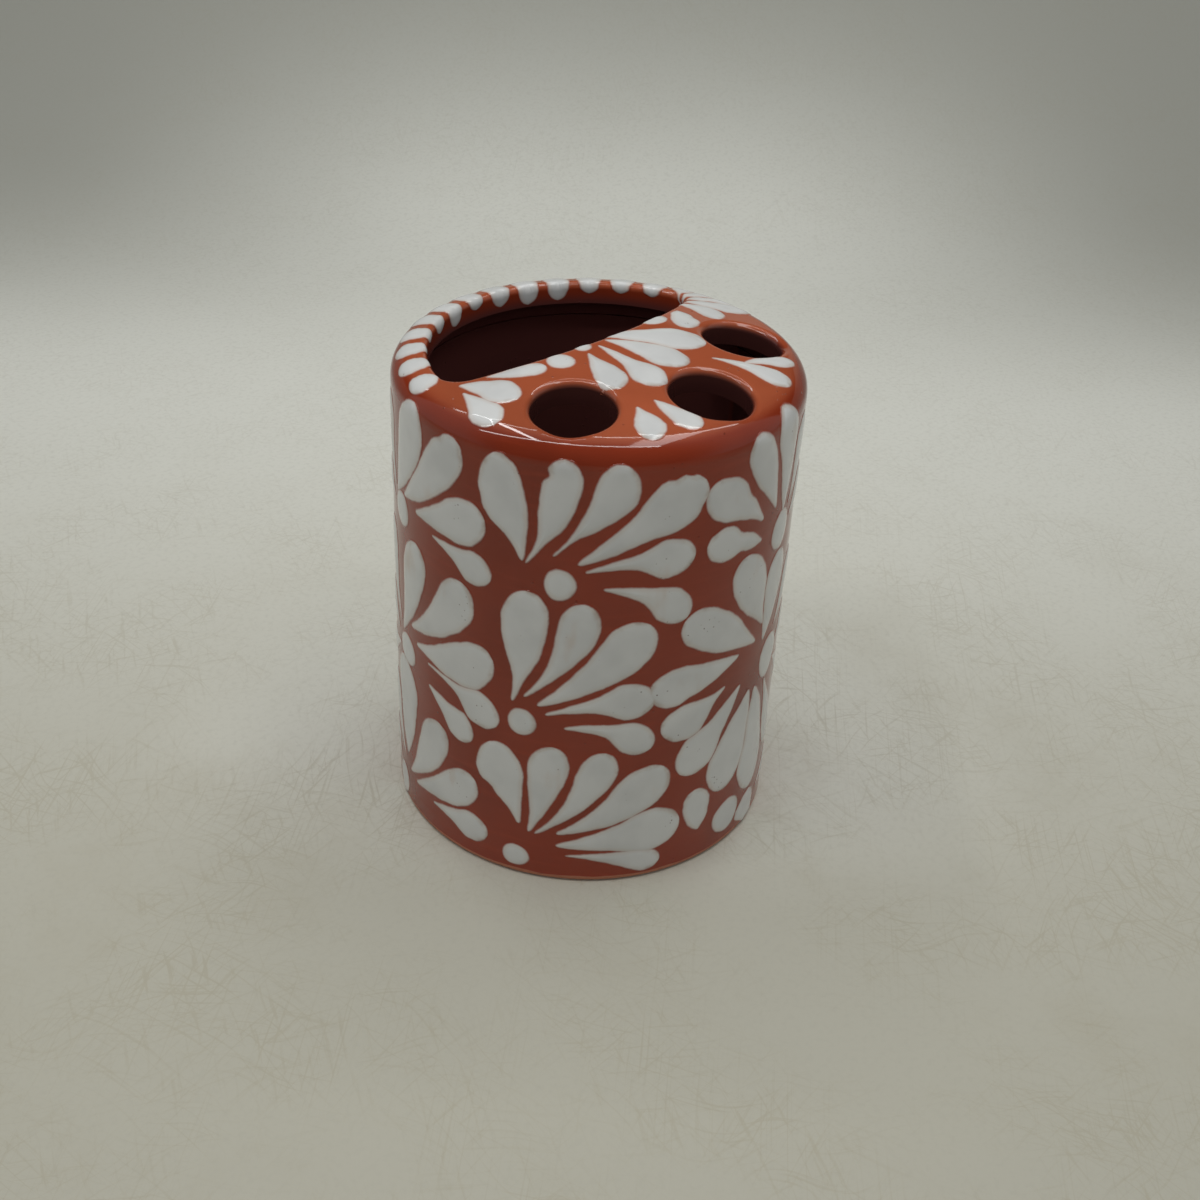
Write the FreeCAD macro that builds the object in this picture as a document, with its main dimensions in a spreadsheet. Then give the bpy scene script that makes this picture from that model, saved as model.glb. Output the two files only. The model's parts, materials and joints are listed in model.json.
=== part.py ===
import FreeCAD, Part
import math
import os
import Sketcher
from FreeCAD import Vector

# Toothbrush holder: a glazed clay drum with a domed deck, three brush holes and a D-shaped mouth,
# trimmed all over with petals of raised white slip.
#
# Frame: millimetres, +Z up, origin at the middle of the standing face. The deck with the brush
# holes lies towards -Y and the mouth towards +Y.

os.makedirs("parts", exist_ok=True)

# Driving dimensions, millimetres and degrees
SIZES = {
    # drum
    "body_diameter": 80.0,
    "wall_height": 94.5,  # standing face to the line where the shoulder starts
    "wall_thickness": 4.0,
    "floor_thickness": 5.0,
    "floor_step": 1.0,  # rise of the floor inside the wall, which centres it
    "foot_round": 1.2,
    # deck
    "shoulder_radius": 5.0,
    "crown_lift": 3.5,  # crown of the dome over the top of the shoulder's own arc
    "deck_thickness": 4.6,
    "lap_depth": 3.0,  # half-lap between the wall and the deck
    "joint_gap": 0.3,
    # brush holes
    "brush_hole_diameter": 15.5,
    "brush_wall_gap": 0.35,  # hole's side to the inside of the wall
    "brush_spread": 55.3,  # degrees between neighbouring holes
    "brush_hole_round": 1.4,
    # mouth
    "rim_width": 7.0,  # drum's outside to the mouth's round side
    "deck_land": 6.5,  # level of the outer brush holes' inner side to the middle of the deck's edge
    "deck_edge_radius": 70.0,
    "mouth_corner_radius": 5.0,
    "lip_round": 1.2,
    # raised slip
    "slip_bed": 0.1,  # film of glaze under the slip
    "slip_relief": 0.5,
}

BRUSH_HOLES = 3
FULL_TURN = 360.0
HALF_TURN = 180.0

# Drum's outside unrolled: its girth as a share of the wall's height, the sheet the fans are drawn on
GIRTH_share = 2.66
# Deck's depth, from the middle of its edge to the front, as a share of the drum's radius
DECK_DEPTH_share = 0.96

# Teardrop: the places along the tail and head where its width is given, and those widths. The tail's
# places are shares of the length up to the belly, the head's place a share of the rest.
TAIL_PLACE_shares = (0.30, 0.62)
TAIL_WIDTH_share = 0.42
HEAD_LENGTH_share = 1.3
HEAD_PLACE_share = 0.70
HEAD_WIDTH_share = 0.71
DOT_POINTS = 12

# Fans on the drum, seen from the front. A dot is (turn, height, radius) and a petal is (tip turn,
# tip height, end turn, end height, half width, waist, bow): turns in degrees, heights and half
# widths as shares of the wall's height, the waist as a share of the half width and the bow of the
# petal's spine as a share of its length, to the left as seen from the tip.
FAN_shares = {
    "left_upper": (
        (-200.5, 0.766, 0.031),
        (
            (-204.4, 0.806, -194.2, 1.022, 0.042, 0.84, -0.08),
            (-199.3, 0.804, -175.4, 1.010, 0.042, 0.84, -0.06),
            (-193.4, 0.788, -165.6, 0.857, 0.047, 0.66, 0.00),
            (-185.4, 0.760, -163.2, 0.727, 0.036, 0.45, 0.05),
            (-207.5, 0.800, -214.5, 0.985, 0.036, 0.70, 0.08),
            (-209.5, 0.765, -222.0, 0.810, 0.034, 0.60, 0.00),
        ),
    ),
    "left_middle": (
        (-198.7, 0.425, 0.033),
        (
            (-201.9, 0.475, -193.4, 0.719, 0.042, 0.78, -0.08),
            (-196.3, 0.498, -174.0, 0.700, 0.043, 0.74, -0.11),
            (-193.0, 0.460, -162.3, 0.512, 0.049, 0.70, 0.02),
            (-188.9, 0.440, -160.8, 0.396, 0.037, 0.38, 0.04),
            (-188.0, 0.392, -169.0, 0.326, 0.033, 0.50, 0.00),
            (-205.0, 0.482, -213.5, 0.700, 0.037, 0.70, 0.08),
            (-208.0, 0.448, -221.0, 0.520, 0.034, 0.60, 0.00),
            (-207.0, 0.412, -221.0, 0.368, 0.032, 0.50, 0.00),
        ),
    ),
    "left_lower": (
        (-205.9, 0.048, 0.034),
        (
            (-199.3, 0.116, -201.1, 0.387, 0.050, 0.85, 0.00),
            (-198.2, 0.102, -183.4, 0.316, 0.040, 0.78, -0.11),
            (-195.0, 0.082, -170.4, 0.232, 0.040, 0.76, -0.08),
            (-186.4, 0.074, -163.6, 0.076, 0.035, 0.58, 0.03),
            (-203.8, 0.120, -215.5, 0.300, 0.034, 0.68, 0.08),
            (-210.0, 0.085, -221.0, 0.150, 0.029, 0.70, 0.00),
        ),
    ),
    "centre_upper": (
        (-144.3, 0.752, 0.033),
        (
            (-154.9, 0.788, -160.9, 1.012, 0.042, 0.80, 0.065),
            (-153.4, 0.779, -144.4, 1.020, 0.040, 0.72, -0.09),
            (-147.0, 0.798, -129.9, 1.019, 0.039, 0.55, -0.13),
            (-140.0, 0.799, -107.4, 0.969, 0.048, 0.55, 0.00),
            (-139.0, 0.772, -108.6, 0.812, 0.043, 0.45, 0.07),
            (-133.4, 0.743, -107.7, 0.683, 0.041, 0.42, 0.08),
        ),
    ),
    "centre_middle": (
        (-153.5, 0.412, 0.033),
        (
            (-157.4, 0.452, -152.8, 0.729, 0.050, 0.72, -0.025),
            (-153.0, 0.464, -138.2, 0.712, 0.040, 0.65, -0.12),
            (-149.1, 0.458, -121.4, 0.673, 0.046, 0.66, -0.07),
            (-147.3, 0.435, -118.0, 0.482, 0.044, 0.46, 0.065),
            (-142.4, 0.408, -115.9, 0.372, 0.040, 0.35, 0.075),
        ),
    ),
    "centre_lower": (
        (-154.3, 0.054, 0.031),
        (
            (-155.6, 0.116, -160.5, 0.342, 0.050, 0.70, 0.03),
            (-151.6, 0.116, -143.8, 0.361, 0.045, 0.72, -0.03),
            (-149.0, 0.113, -129.5, 0.353, 0.038, 0.66, -0.085),
            (-142.6, 0.124, -112.8, 0.309, 0.049, 0.68, -0.06),
            (-143.8, 0.096, -105.8, 0.144, 0.051, 0.54, 0.00),
            (-141.4, 0.064, -110.6, 0.036, 0.024, 0.55, 0.03),
        ),
    ),
    "right_upper": (
        (-74.0, 0.766, 0.032),
        (
            (-85.2, 0.812, -104.8, 0.938, 0.041, 0.70, -0.04),
            (-78.2, 0.818, -88.2, 1.024, 0.041, 0.74, 0.04),
            (-74.0, 0.818, -75.2, 1.024, 0.040, 0.80, -0.02),
            (-84.9, 0.778, -104.5, 0.806, 0.036, 0.70, -0.02),
            (-68.5, 0.812, -60.5, 0.985, 0.038, 0.75, -0.08),
            (-66.0, 0.775, -51.0, 0.840, 0.040, 0.65, 0.00),
        ),
    ),
    "right_middle": (
        (-71.4, 0.443, 0.041),
        (
            (-79.0, 0.540, -89.5, 0.754, 0.048, 0.88, 0.02),
            (-75.4, 0.531, -71.6, 0.691, 0.034, 0.80, 0.00),
            (-82.1, 0.520, -109.0, 0.665, 0.048, 0.78, 0.00),
            (-86.9, 0.509, -117.4, 0.499, 0.041, 0.74, 0.00),
            (-91.9, 0.455, -113.6, 0.378, 0.043, 0.70, 0.02),
            (-86.3, 0.434, -106.6, 0.264, 0.045, 0.58, 0.00),
            (-81.9, 0.408, -91.0, 0.173, 0.050, 0.78, -0.02),
            (-77.3, 0.394, -74.8, 0.115, 0.046, 0.70, 0.02),
            (-71.0, 0.385, -58.5, 0.165, 0.038, 0.70, 0.00),
            (-68.0, 0.515, -55.0, 0.655, 0.040, 0.70, -0.05),
            (-63.5, 0.455, -50.0, 0.500, 0.040, 0.60, 0.00),
            (-64.5, 0.412, -50.0, 0.320, 0.034, 0.60, 0.05),
        ),
    ),
    "right_lower": (
        (-87.1, 0.087, 0.043),
        (
            (-98.8, 0.086, -100.8, 0.207, 0.038, 0.85, 0.00),
            (-74.4, 0.026, -74.6, 0.092, 0.030, 0.85, 0.00),
            (-66.0, 0.060, -50.5, 0.105, 0.034, 0.60, 0.00),
        ),
    ),
}

# Sprigs on the deck. Places across are shares of the drum's radius. Places in depth are shares of
# the run from the middle of the deck's edge to the front, below zero towards the front. Half widths
# and dots are shares of the radius.
DECK_shares = {
    "deck_left_sprig": (
        ((-0.358, -0.057, 0.064),),
        (
            (-0.852, 0.100, -0.896, -0.205, 0.071, 0.70, 0.00),
            (-0.802, 0.150, -0.712, -0.148, 0.082, 0.74, 0.10),
            (-0.680, 0.096, -0.434, -0.040, 0.053, 0.78, -0.05),
        ),
    ),
    "deck_centre_fan": (
        ((-0.183, -0.015, 0.042),),
        (
            (-0.208, -0.075, -0.330, -0.405, 0.088, 0.70, 0.00),
            (-0.120, -0.060, -0.148, -0.515, 0.083, 0.44, 0.02),
            (-0.064, -0.044, 0.066, -0.443, 0.095, 0.70, 0.05),
            (-0.008, -0.030, 0.325, -0.345, 0.101, 0.62, 0.06),
        ),
    ),
    "deck_right_sprig": (
        ((0.322, -0.036, 0.052),),
        (
            (0.515, 0.026, 0.405, -0.177, 0.066, 0.85, 0.00),
            (0.615, 0.080, 0.664, -0.158, 0.080, 0.80, 0.08),
            (0.735, 0.100, 0.880, -0.150, 0.064, 0.78, 0.08),
        ),
    ),
    "deck_corner_fan": (
        (),
        (
            (0.800, 0.151, 0.953, 0.030, 0.040, 0.60, 0.05),
            (0.830, 0.215, 0.957, 0.175, 0.040, 0.60, 0.05),
            (0.845, 0.287, 0.937, 0.318, 0.038, 0.60, 0.00),
        ),
    ),
    "deck_front_left_pair": (
        (),
        (
            (-0.375, -0.557, -0.465, -0.797, 0.075, 0.75, 0.00),
            (-0.292, -0.568, -0.282, -0.855, 0.052, 0.60, 0.00),
        ),
    ),
    "deck_front_right_pair": (
        (),
        (
            (0.240, -0.453, 0.378, -0.835, 0.075, 0.60, 0.05),
            (0.400, -0.539, 0.582, -0.706, 0.054, 0.85, 0.05),
        ),
    ),
}

# Petals across the rim: turns in degrees, tip and end as shares of the rim's width from the outside,
# and how much of its step a petal fills. The form is that of a petal of unit length.
RIM_PETALS = 13
RIM_FIRST_TURN = 162.6
RIM_TURN_STEP = -11.4
RIM_TIP_share = 1.0
RIM_END_share = 0.20
RIM_FILL_share = 0.80
RIM_HALF_WIDTH_share = 0.45
RIM_WAIST_share = 0.75

doc = FreeCAD.newDocument("toothbrush_holder")
sheet = doc.addObject("Spreadsheet::Sheet", "Sizes")
for row, (alias, value) in enumerate(SIZES.items(), start=1):
    sheet.set(f"A{row}", alias)
    sheet.set(f"B{row}", str(value))
    sheet.setAlias(f"B{row}", alias)
doc.recompute()


def size(alias):
    return float(sheet.get(alias))


# Sizes that follow from the sheet
body_radius = size("body_diameter") / 2
shoulder_radius = size("shoulder_radius")
shoulder_centre = body_radius - shoulder_radius
crown_height = size("wall_height") + shoulder_radius + size("crown_lift")
crown_rise = shoulder_radius + size("crown_lift")
# the dome touches the shoulder's arc from outside, with its own centre on the drum's axis
dome_radius = (shoulder_centre**2 + crown_rise**2 - shoulder_radius**2) / (2 * size("crown_lift"))
dome_centre = crown_height - dome_radius
dome_turn = math.asin(shoulder_centre / (dome_radius - shoulder_radius))
mouth_radius = body_radius - size("rim_width")
edge_radius = size("deck_edge_radius")
hole_radius = size("brush_hole_diameter") / 2
inner_radius = body_radius - size("wall_thickness")
hole_circle = inner_radius - size("brush_wall_gap") - hole_radius
outer_hole_depth = hole_circle * math.cos(math.radians(size("brush_spread")))
# middle of the deck's edge, past the axis on the deck side
edge_setback = outer_hole_depth - hole_radius - size("deck_land")
edge_centre = edge_radius - edge_setback

OUTER = "Sizes.body_diameter / 2"
INNER = "Sizes.body_diameter / 2 - Sizes.wall_thickness"
HOLE_CIRCLE = f"({INNER} - Sizes.brush_wall_gap - Sizes.brush_hole_diameter / 2)"
HOLE_DEPTH = f"{HOLE_CIRCLE} * cos(Sizes.brush_spread * 1 deg)"
EDGE_SETBACK = f"({HOLE_DEPTH} - Sizes.brush_hole_diameter / 2 - Sizes.deck_land)"
LAP = "Sizes.body_diameter / 2 - Sizes.wall_thickness / 2"
LAP_FLOOR = "Sizes.wall_height - Sizes.lap_depth"
CROWN = "Sizes.wall_height + Sizes.shoulder_radius + Sizes.crown_lift"

# A sketch's own origin and axes, and the ends of its curves
ORIGIN = (-1, 1)
V_AXIS = -2
START = 1
END = 2
CENTRE = 3


def polar(radius, degrees, height=0.0):
    turn = math.radians(degrees)
    return Vector(radius * math.cos(turn), radius * math.sin(turn), height)


def new_body(label):
    body = doc.addObject("PartDesign::Body", label)
    body.Label = label
    return body


def origin_feature(body, role):
    return next(item for item in body.Origin.OriginFeatures if item.Role == role)


def new_sketch(body, name, role, level=None):
    """A sketch on one of the body's own planes, raised to the level that the sheet gives."""
    sketch = body.newObject("Sketcher::SketchObject", name)
    sketch.AttachmentSupport = [(origin_feature(body, role), "")]
    sketch.MapMode = "FlatFace"
    if level:
        sketch.setExpression("AttachmentOffset.Base.z", level)
    return sketch


def dimension(sketch, kind, *where, value, expression):
    """A driving dimension, tied to the sheet."""
    index = sketch.addConstraint(Sketcher.Constraint(kind, *where, value))
    sketch.setExpression(f"Constraints[{index}]", expression)


def add_circle(sketch, radius, expression):
    """A circle about the drum's axis."""
    curve = sketch.addGeometry(Part.Circle(Vector(), Vector(0, 0, 1), radius))
    sketch.addConstraint(Sketcher.Constraint("Coincident", curve, CENTRE, *ORIGIN))
    dimension(sketch, "Radius", curve, value=radius, expression=expression)


def add_pad(body, name, sketch, length):
    pad = body.newObject("PartDesign::Pad", name)
    pad.Profile = sketch
    pad.setExpression("Length", length)
    return pad


# Floor: a disc that carries the wall, with a step that centres it
floor = new_body("base_floor")
disc_sketch = new_sketch(floor, "disc_outline", "XY_Plane")
add_circle(disc_sketch, body_radius, OUTER)
disc = add_pad(floor, "disc", disc_sketch, "Sizes.floor_thickness")
doc.recompute()
foot_edges = [
    f"Edge{index}"
    for index, edge in enumerate(disc.Shape.Edges, start=1)
    if edge.BoundBox.ZMax < size("floor_thickness") / 2 and len(edge.Vertexes) == 1
]
foot = floor.newObject("PartDesign::Fillet", "foot_edge")
foot.Base = (disc, foot_edges)
foot.setExpression("Radius", "Sizes.foot_round")
doc.recompute()
step_sketch = new_sketch(floor, "step_outline", "XY_Plane", "Sizes.floor_thickness")
step_expression = f"{INNER} - Sizes.joint_gap"
add_circle(step_sketch, inner_radius - size("joint_gap"), step_expression)
add_pad(floor, "step", step_sketch, "Sizes.floor_step")

# Wall: a tube that stands on the floor, its top edge halved on the inside for the deck
wall = new_body("body_wall")
tube_sketch = new_sketch(wall, "tube_outline", "XY_Plane", "Sizes.floor_thickness")
add_circle(tube_sketch, body_radius, OUTER)
add_circle(tube_sketch, inner_radius, INNER)
tube = add_pad(wall, "tube", tube_sketch, "Sizes.wall_height - Sizes.floor_thickness")
doc.recompute()
lap_sketch = new_sketch(wall, "lap_outline", "XY_Plane", "Sizes.wall_height")
add_circle(lap_sketch, body_radius - size("wall_thickness") / 2, LAP)
lap = wall.newObject("PartDesign::Pocket", "lap")
lap.Profile = lap_sketch
lap.setExpression("Length", "Sizes.lap_depth")

# Deck: a domed cap with a rounded shoulder and a tongue that fills the wall's half-lap
deck = new_body("top_deck")
section = new_sketch(deck, "cap_section", "XZ_Plane")
lap_radius = body_radius - size("wall_thickness") / 2 - size("joint_gap")
tongue_foot = size("wall_height") - size("lap_depth") + size("joint_gap")
ceiling_radius = dome_radius - size("deck_thickness")
ceiling_turn = math.asin(inner_radius / ceiling_radius)
tangent_r = dome_radius * math.sin(dome_turn)
tangent_z = dome_centre + dome_radius * math.cos(dome_turn)
ceiling_z = dome_centre + ceiling_radius * math.cos(ceiling_turn)
TOP = math.radians(FULL_TURN / 4)


def section_arc(centre_r, centre_z, radius, first, last):
    circle = Part.Circle(Vector(centre_r, centre_z, 0), Vector(0, 0, 1), radius)
    return section.addGeometry(Part.ArcOfCircle(circle, first, last))


def section_line(first, last):
    return section.addGeometry(Part.LineSegment(Vector(*first, 0), Vector(*last, 0)))


shoulder = section_arc(shoulder_centre, size("wall_height"), shoulder_radius, 0, TOP - dome_turn)
dome = section_arc(0, dome_centre, dome_radius, TOP - dome_turn, TOP)
ceiling = section_arc(0, dome_centre, ceiling_radius, TOP - ceiling_turn, TOP)
crown = section_line((0, crown_height), (0, crown_height - size("deck_thickness")))
tongue_in = section_line((inner_radius, ceiling_z), (inner_radius, tongue_foot))
tongue_end = section_line((inner_radius, tongue_foot), (lap_radius, tongue_foot))
tongue_out = section_line((lap_radius, tongue_foot), (lap_radius, size("wall_height")))
seat = section_line((lap_radius, size("wall_height")), (body_radius, size("wall_height")))
for first, last in (
    ((dome, END), (crown, START)),
    ((crown, END), (ceiling, END)),
    ((ceiling, START), (tongue_in, START)),
    ((tongue_in, END), (tongue_end, START)),
    ((tongue_end, END), (tongue_out, START)),
    ((tongue_out, END), (seat, START)),
    ((seat, END), (shoulder, START)),
    ((ceiling, CENTRE), (dome, CENTRE)),
):
    section.addConstraint(Sketcher.Constraint("Coincident", *first, *last))
section.addConstraint(Sketcher.Constraint("Tangent", shoulder, END, dome, START))
section.addConstraint(Sketcher.Constraint("PointOnObject", dome, CENTRE, V_AXIS))
section.addConstraint(Sketcher.Constraint("PointOnObject", dome, END, V_AXIS))
section.addConstraint(Sketcher.Constraint("PointOnObject", ceiling, END, V_AXIS))
section.addConstraint(Sketcher.Constraint("Horizontal", shoulder, CENTRE, shoulder, START))
section.addConstraint(Sketcher.Constraint("Vertical", tongue_in))
section.addConstraint(Sketcher.Constraint("Horizontal", tongue_end))
section.addConstraint(Sketcher.Constraint("Vertical", tongue_out))
section.addConstraint(Sketcher.Constraint("Horizontal", seat))
dimension(section, "Radius", shoulder, value=shoulder_radius, expression="Sizes.shoulder_radius")
for kind, geometry, point, value, expression in (
    ("DistanceX", shoulder, START, body_radius, OUTER),
    ("DistanceY", shoulder, CENTRE, size("wall_height"), "Sizes.wall_height"),
    ("DistanceY", dome, END, crown_height, CROWN),
    ("DistanceX", tongue_in, END, inner_radius, INNER),
    ("DistanceY", tongue_in, END, tongue_foot, f"{LAP_FLOOR} + Sizes.joint_gap"),
    ("DistanceX", tongue_end, END, lap_radius, f"{LAP} - Sizes.joint_gap"),
):
    dimension(section, kind, *ORIGIN, geometry, point, value=value, expression=expression)
dimension(
    section,
    "DistanceY",
    ceiling,
    END,
    dome,
    END,
    value=size("deck_thickness"),
    expression="Sizes.deck_thickness",
)
cap = deck.newObject("PartDesign::Revolution", "cap")
cap.Profile = section
cap.ReferenceAxis = (section, ["V_Axis"])
cap.Angle = FULL_TURN
doc.recompute()

# Mouth: the round side follows the drum, the deck's edge is a shallow arc, the corners are rounded


def mouth_arcs(margin):
    """The mouth's outline, widened by the margin: round side, left corner, deck's edge, right corner."""
    corner_radius = size("mouth_corner_radius")
    round_reach = mouth_radius - corner_radius
    edge_reach = edge_radius - corner_radius
    corner_y = (round_reach**2 - edge_reach**2 + edge_centre**2) / (2 * edge_centre)
    corner_x = math.sqrt(round_reach**2 - corner_y**2)
    round_turn = math.atan2(corner_y, corner_x)
    edge_turn = math.atan2(corner_y - edge_centre, corner_x)
    straight = math.radians(HALF_TURN)
    return (
        (0, 0, mouth_radius + margin, round_turn, straight - round_turn),
        (-corner_x, corner_y, corner_radius + margin, straight - round_turn, straight - edge_turn),
        (0, edge_centre, edge_radius + margin, -straight - edge_turn, edge_turn),
        (corner_x, corner_y, corner_radius + margin, edge_turn, round_turn),
    )


def plan_arc(centre_x, centre_y, radius, first, last):
    circle = Part.Circle(Vector(centre_x, centre_y, 0), Vector(0, 0, 1), radius)
    return Part.ArcOfCircle(circle, first, last)


mouth_sketch = new_sketch(deck, "mouth_outline", "XY_Plane")
arcs = [mouth_sketch.addGeometry(plan_arc(*arc)) for arc in mouth_arcs(0)]
round_side, left_corner, deck_edge, right_corner = arcs
for first, last in zip(arcs, arcs[1:] + arcs[:1]):
    mouth_sketch.addConstraint(Sketcher.Constraint("Tangent", first, END, last, START))
mouth_sketch.addConstraint(Sketcher.Constraint("Coincident", round_side, CENTRE, *ORIGIN))
mouth_sketch.addConstraint(Sketcher.Constraint("PointOnObject", deck_edge, CENTRE, V_AXIS))
mouth_sketch.addConstraint(Sketcher.Constraint("Equal", left_corner, right_corner))
for curve, value, expression in (
    (round_side, mouth_radius, f"{OUTER} - Sizes.rim_width"),
    (deck_edge, edge_radius, "Sizes.deck_edge_radius"),
    (left_corner, size("mouth_corner_radius"), "Sizes.mouth_corner_radius"),
):
    dimension(mouth_sketch, "Radius", curve, value=value, expression=expression)
dimension(
    mouth_sketch,
    "DistanceY",
    *ORIGIN,
    deck_edge,
    CENTRE,
    value=edge_centre,
    expression=f"Sizes.deck_edge_radius - {EDGE_SETBACK}",
)
mouth = deck.newObject("PartDesign::Pocket", "mouth")
mouth.Profile = mouth_sketch
mouth.Type = "ThroughAll"
mouth.Reversed = True
doc.recompute()

# Brush holes: the first to the left, then its copies across the front
hole_sketch = new_sketch(deck, "brush_hole_outline", "XY_Plane")
hole_place = polar(hole_circle, -FULL_TURN / 4 - size("brush_spread"))
hole_curve = hole_sketch.addGeometry(Part.Circle(hole_place, Vector(0, 0, 1), hole_radius))
dimension(hole_sketch, "Radius", hole_curve, value=hole_radius, expression="Sizes.brush_hole_diameter / 2")
for kind, value, share in (("DistanceX", -hole_place.x, "sin"), ("DistanceY", -hole_place.y, "cos")):
    dimension(
        hole_sketch,
        kind,
        hole_curve,
        CENTRE,
        *ORIGIN,
        value=value,
        expression=f"{HOLE_CIRCLE} * {share}(Sizes.brush_spread * 1 deg)",
    )
hole = deck.newObject("PartDesign::Pocket", "brush_hole")
hole.Profile = hole_sketch
hole.Type = "ThroughAll"
hole.Reversed = True
doc.recompute()
holes = deck.newObject("PartDesign::PolarPattern", "brush_holes")
holes.Originals = [hole]
holes.Axis = (origin_feature(deck, "Z_Axis"), [""])
holes.Occurrences = BRUSH_HOLES
holes.setExpression("Angle", f"Sizes.brush_spread * {BRUSH_HOLES - 1}")
deck.Tip = holes
doc.recompute()


def skin_height(radius):
    """Height of the deck's upper face at a distance from the axis."""
    if radius < tangent_r:
        return dome_centre + math.sqrt(dome_radius**2 - radius**2)
    return size("wall_height") + math.sqrt(max(shoulder_radius**2 - (radius - shoulder_centre) ** 2, 0))


def brush_hole_places():
    first = -FULL_TURN / 4 - size("brush_spread") * (BRUSH_HOLES - 1) / 2
    return [polar(hole_circle, first + size("brush_spread") * index) for index in range(BRUSH_HOLES)]


SLACK = size("joint_gap") / 10
EDGE_POINTS = 5


def round_hole(points):
    """True where the points lie round one of the brush holes."""
    for place in brush_hole_places():
        reaches = [math.hypot(point.x - place.x, point.y - place.y) for point in points]
        if all(abs(reach - hole_radius) < SLACK for reach in reaches):
            return True
    return False


def round_drum(points):
    """True where the points lie on one of the shoulder's own two edges."""
    radii = [math.hypot(point.x, point.y) for point in points]
    return any(all(abs(radius - edge) < SLACK for radius in radii) for edge in (tangent_r, body_radius))


def upper_edges(shape, hole_edges):
    """Names of the edges that the brush holes, or else the mouth, leave in the deck's upper face."""
    names = []
    for index, edge in enumerate(shape.Edges, start=1):
        # the dome's pole counts as an edge of no length
        if edge.Degenerated:
            continue
        points = edge.discretize(EDGE_POINTS)
        on_skin = all(abs(point.z - skin_height(math.hypot(point.x, point.y))) < SLACK for point in points)
        if on_skin and not round_drum(points) and round_hole(points) == hole_edges:
            names.append(f"Edge{index}")
    return names


lip = deck.newObject("PartDesign::Fillet", "mouth_lip")
lip.Base = (holes, upper_edges(holes.Shape, hole_edges=False))
lip.setExpression("Radius", "Sizes.lip_round")
doc.recompute()
hole_lips = deck.newObject("PartDesign::Fillet", "brush_hole_lips")
hole_lips.Base = (lip, upper_edges(lip.Shape, hole_edges=True))
hole_lips.setExpression("Radius", "Sizes.brush_hole_round")
doc.recompute()

# Raised slip: petals cut from a thin skin that lies over the drum, its shoulder and the dome


def skin_section(offset, foot):
    """Edges of the holder's outside, moved outwards by the offset, from its foot to the crown."""
    rise = Vector(0, 0, size("wall_height"))
    reach = shoulder_radius + offset

    def shoulder_point(turn):
        return rise + Vector(shoulder_centre + reach * math.sin(turn), 0, reach * math.cos(turn))

    def dome_point(turn):
        reach_up = dome_radius + offset
        return Vector(reach_up * math.sin(turn), 0, dome_centre + reach_up * math.cos(turn))

    quarter = math.radians(FULL_TURN / 4)
    start = shoulder_point(quarter)
    join = dome_point(dome_turn)
    bend = shoulder_point((quarter + dome_turn) / 2)
    return [
        Part.LineSegment(Vector(start.x, 0, foot), start).toShape(),
        Part.Arc(start, bend, join).toShape(),
        Part.Arc(join, dome_point(dome_turn / 2), dome_point(0)).toShape(),
    ]


def slip_skin():
    under = skin_section(size("slip_bed"), size("foot_round"))
    over = skin_section(size("slip_bed") + size("slip_relief"), size("foot_round"))
    foot = Part.LineSegment(under[0].Vertexes[0].Point, over[0].Vertexes[0].Point).toShape()
    top = Part.LineSegment(under[-1].Vertexes[-1].Point, over[-1].Vertexes[-1].Point).toShape()
    outline = Part.Wire(Part.__sortEdges__(under + over + [foot, top]))
    return Part.Face(outline).revolve(Vector(), Vector(0, 0, 1), FULL_TURN)


def teardrop(tip_u, tip_v, end_u, end_v, half_width, waist, bow):
    """Points of a petal on a flat sheet, from its tip round the head and back to the tip."""
    length = math.hypot(end_u - tip_u, end_v - tip_v)
    along = ((end_u - tip_u) / length, (end_v - tip_v) / length)
    belly = 1 - HEAD_LENGTH_share * half_width / length
    places = [share * belly for share in TAIL_PLACE_shares] + [belly, belly + HEAD_PLACE_share * (1 - belly)]
    widths = [TAIL_WIDTH_share * waist, waist, 1, HEAD_WIDTH_share]

    def spine(place, aside):
        drift = 4 * bow * length * place * (1 - place)
        lean = 4 * bow * (1 - 2 * place)
        scale = aside * half_width / math.hypot(1, lean)
        ahead = place * length - lean * scale
        left = drift + scale
        return (tip_u + along[0] * ahead - along[1] * left, tip_v + along[1] * ahead + along[0] * left)

    one_side = [spine(place, width) for place, width in zip(places, widths)]
    other_side = [spine(place, -width) for place, width in zip(places, widths)]
    tip = spine(0, 0)
    return [tip] + one_side + [spine(1, 0)] + other_side[::-1] + [tip]


def dot(centre_u, centre_v, radius):
    """Points of a round dot on a flat sheet."""
    turns = [math.radians(FULL_TURN) * index / DOT_POINTS for index in range(DOT_POINTS + 1)]
    return [(centre_u + radius * math.cos(turn), centre_v + radius * math.sin(turn)) for turn in turns]


def prism(points, direction):
    curve = Part.BSplineCurve()
    curve.interpolate(points)
    return Part.Face(Part.Wire(curve.toShape())).extrude(direction)


def sound(shape):
    """The solids of a piece of slip, which has at least one."""
    if not shape.Solids:
        raise RuntimeError("a petal came out empty")
    return shape.Solids


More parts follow.
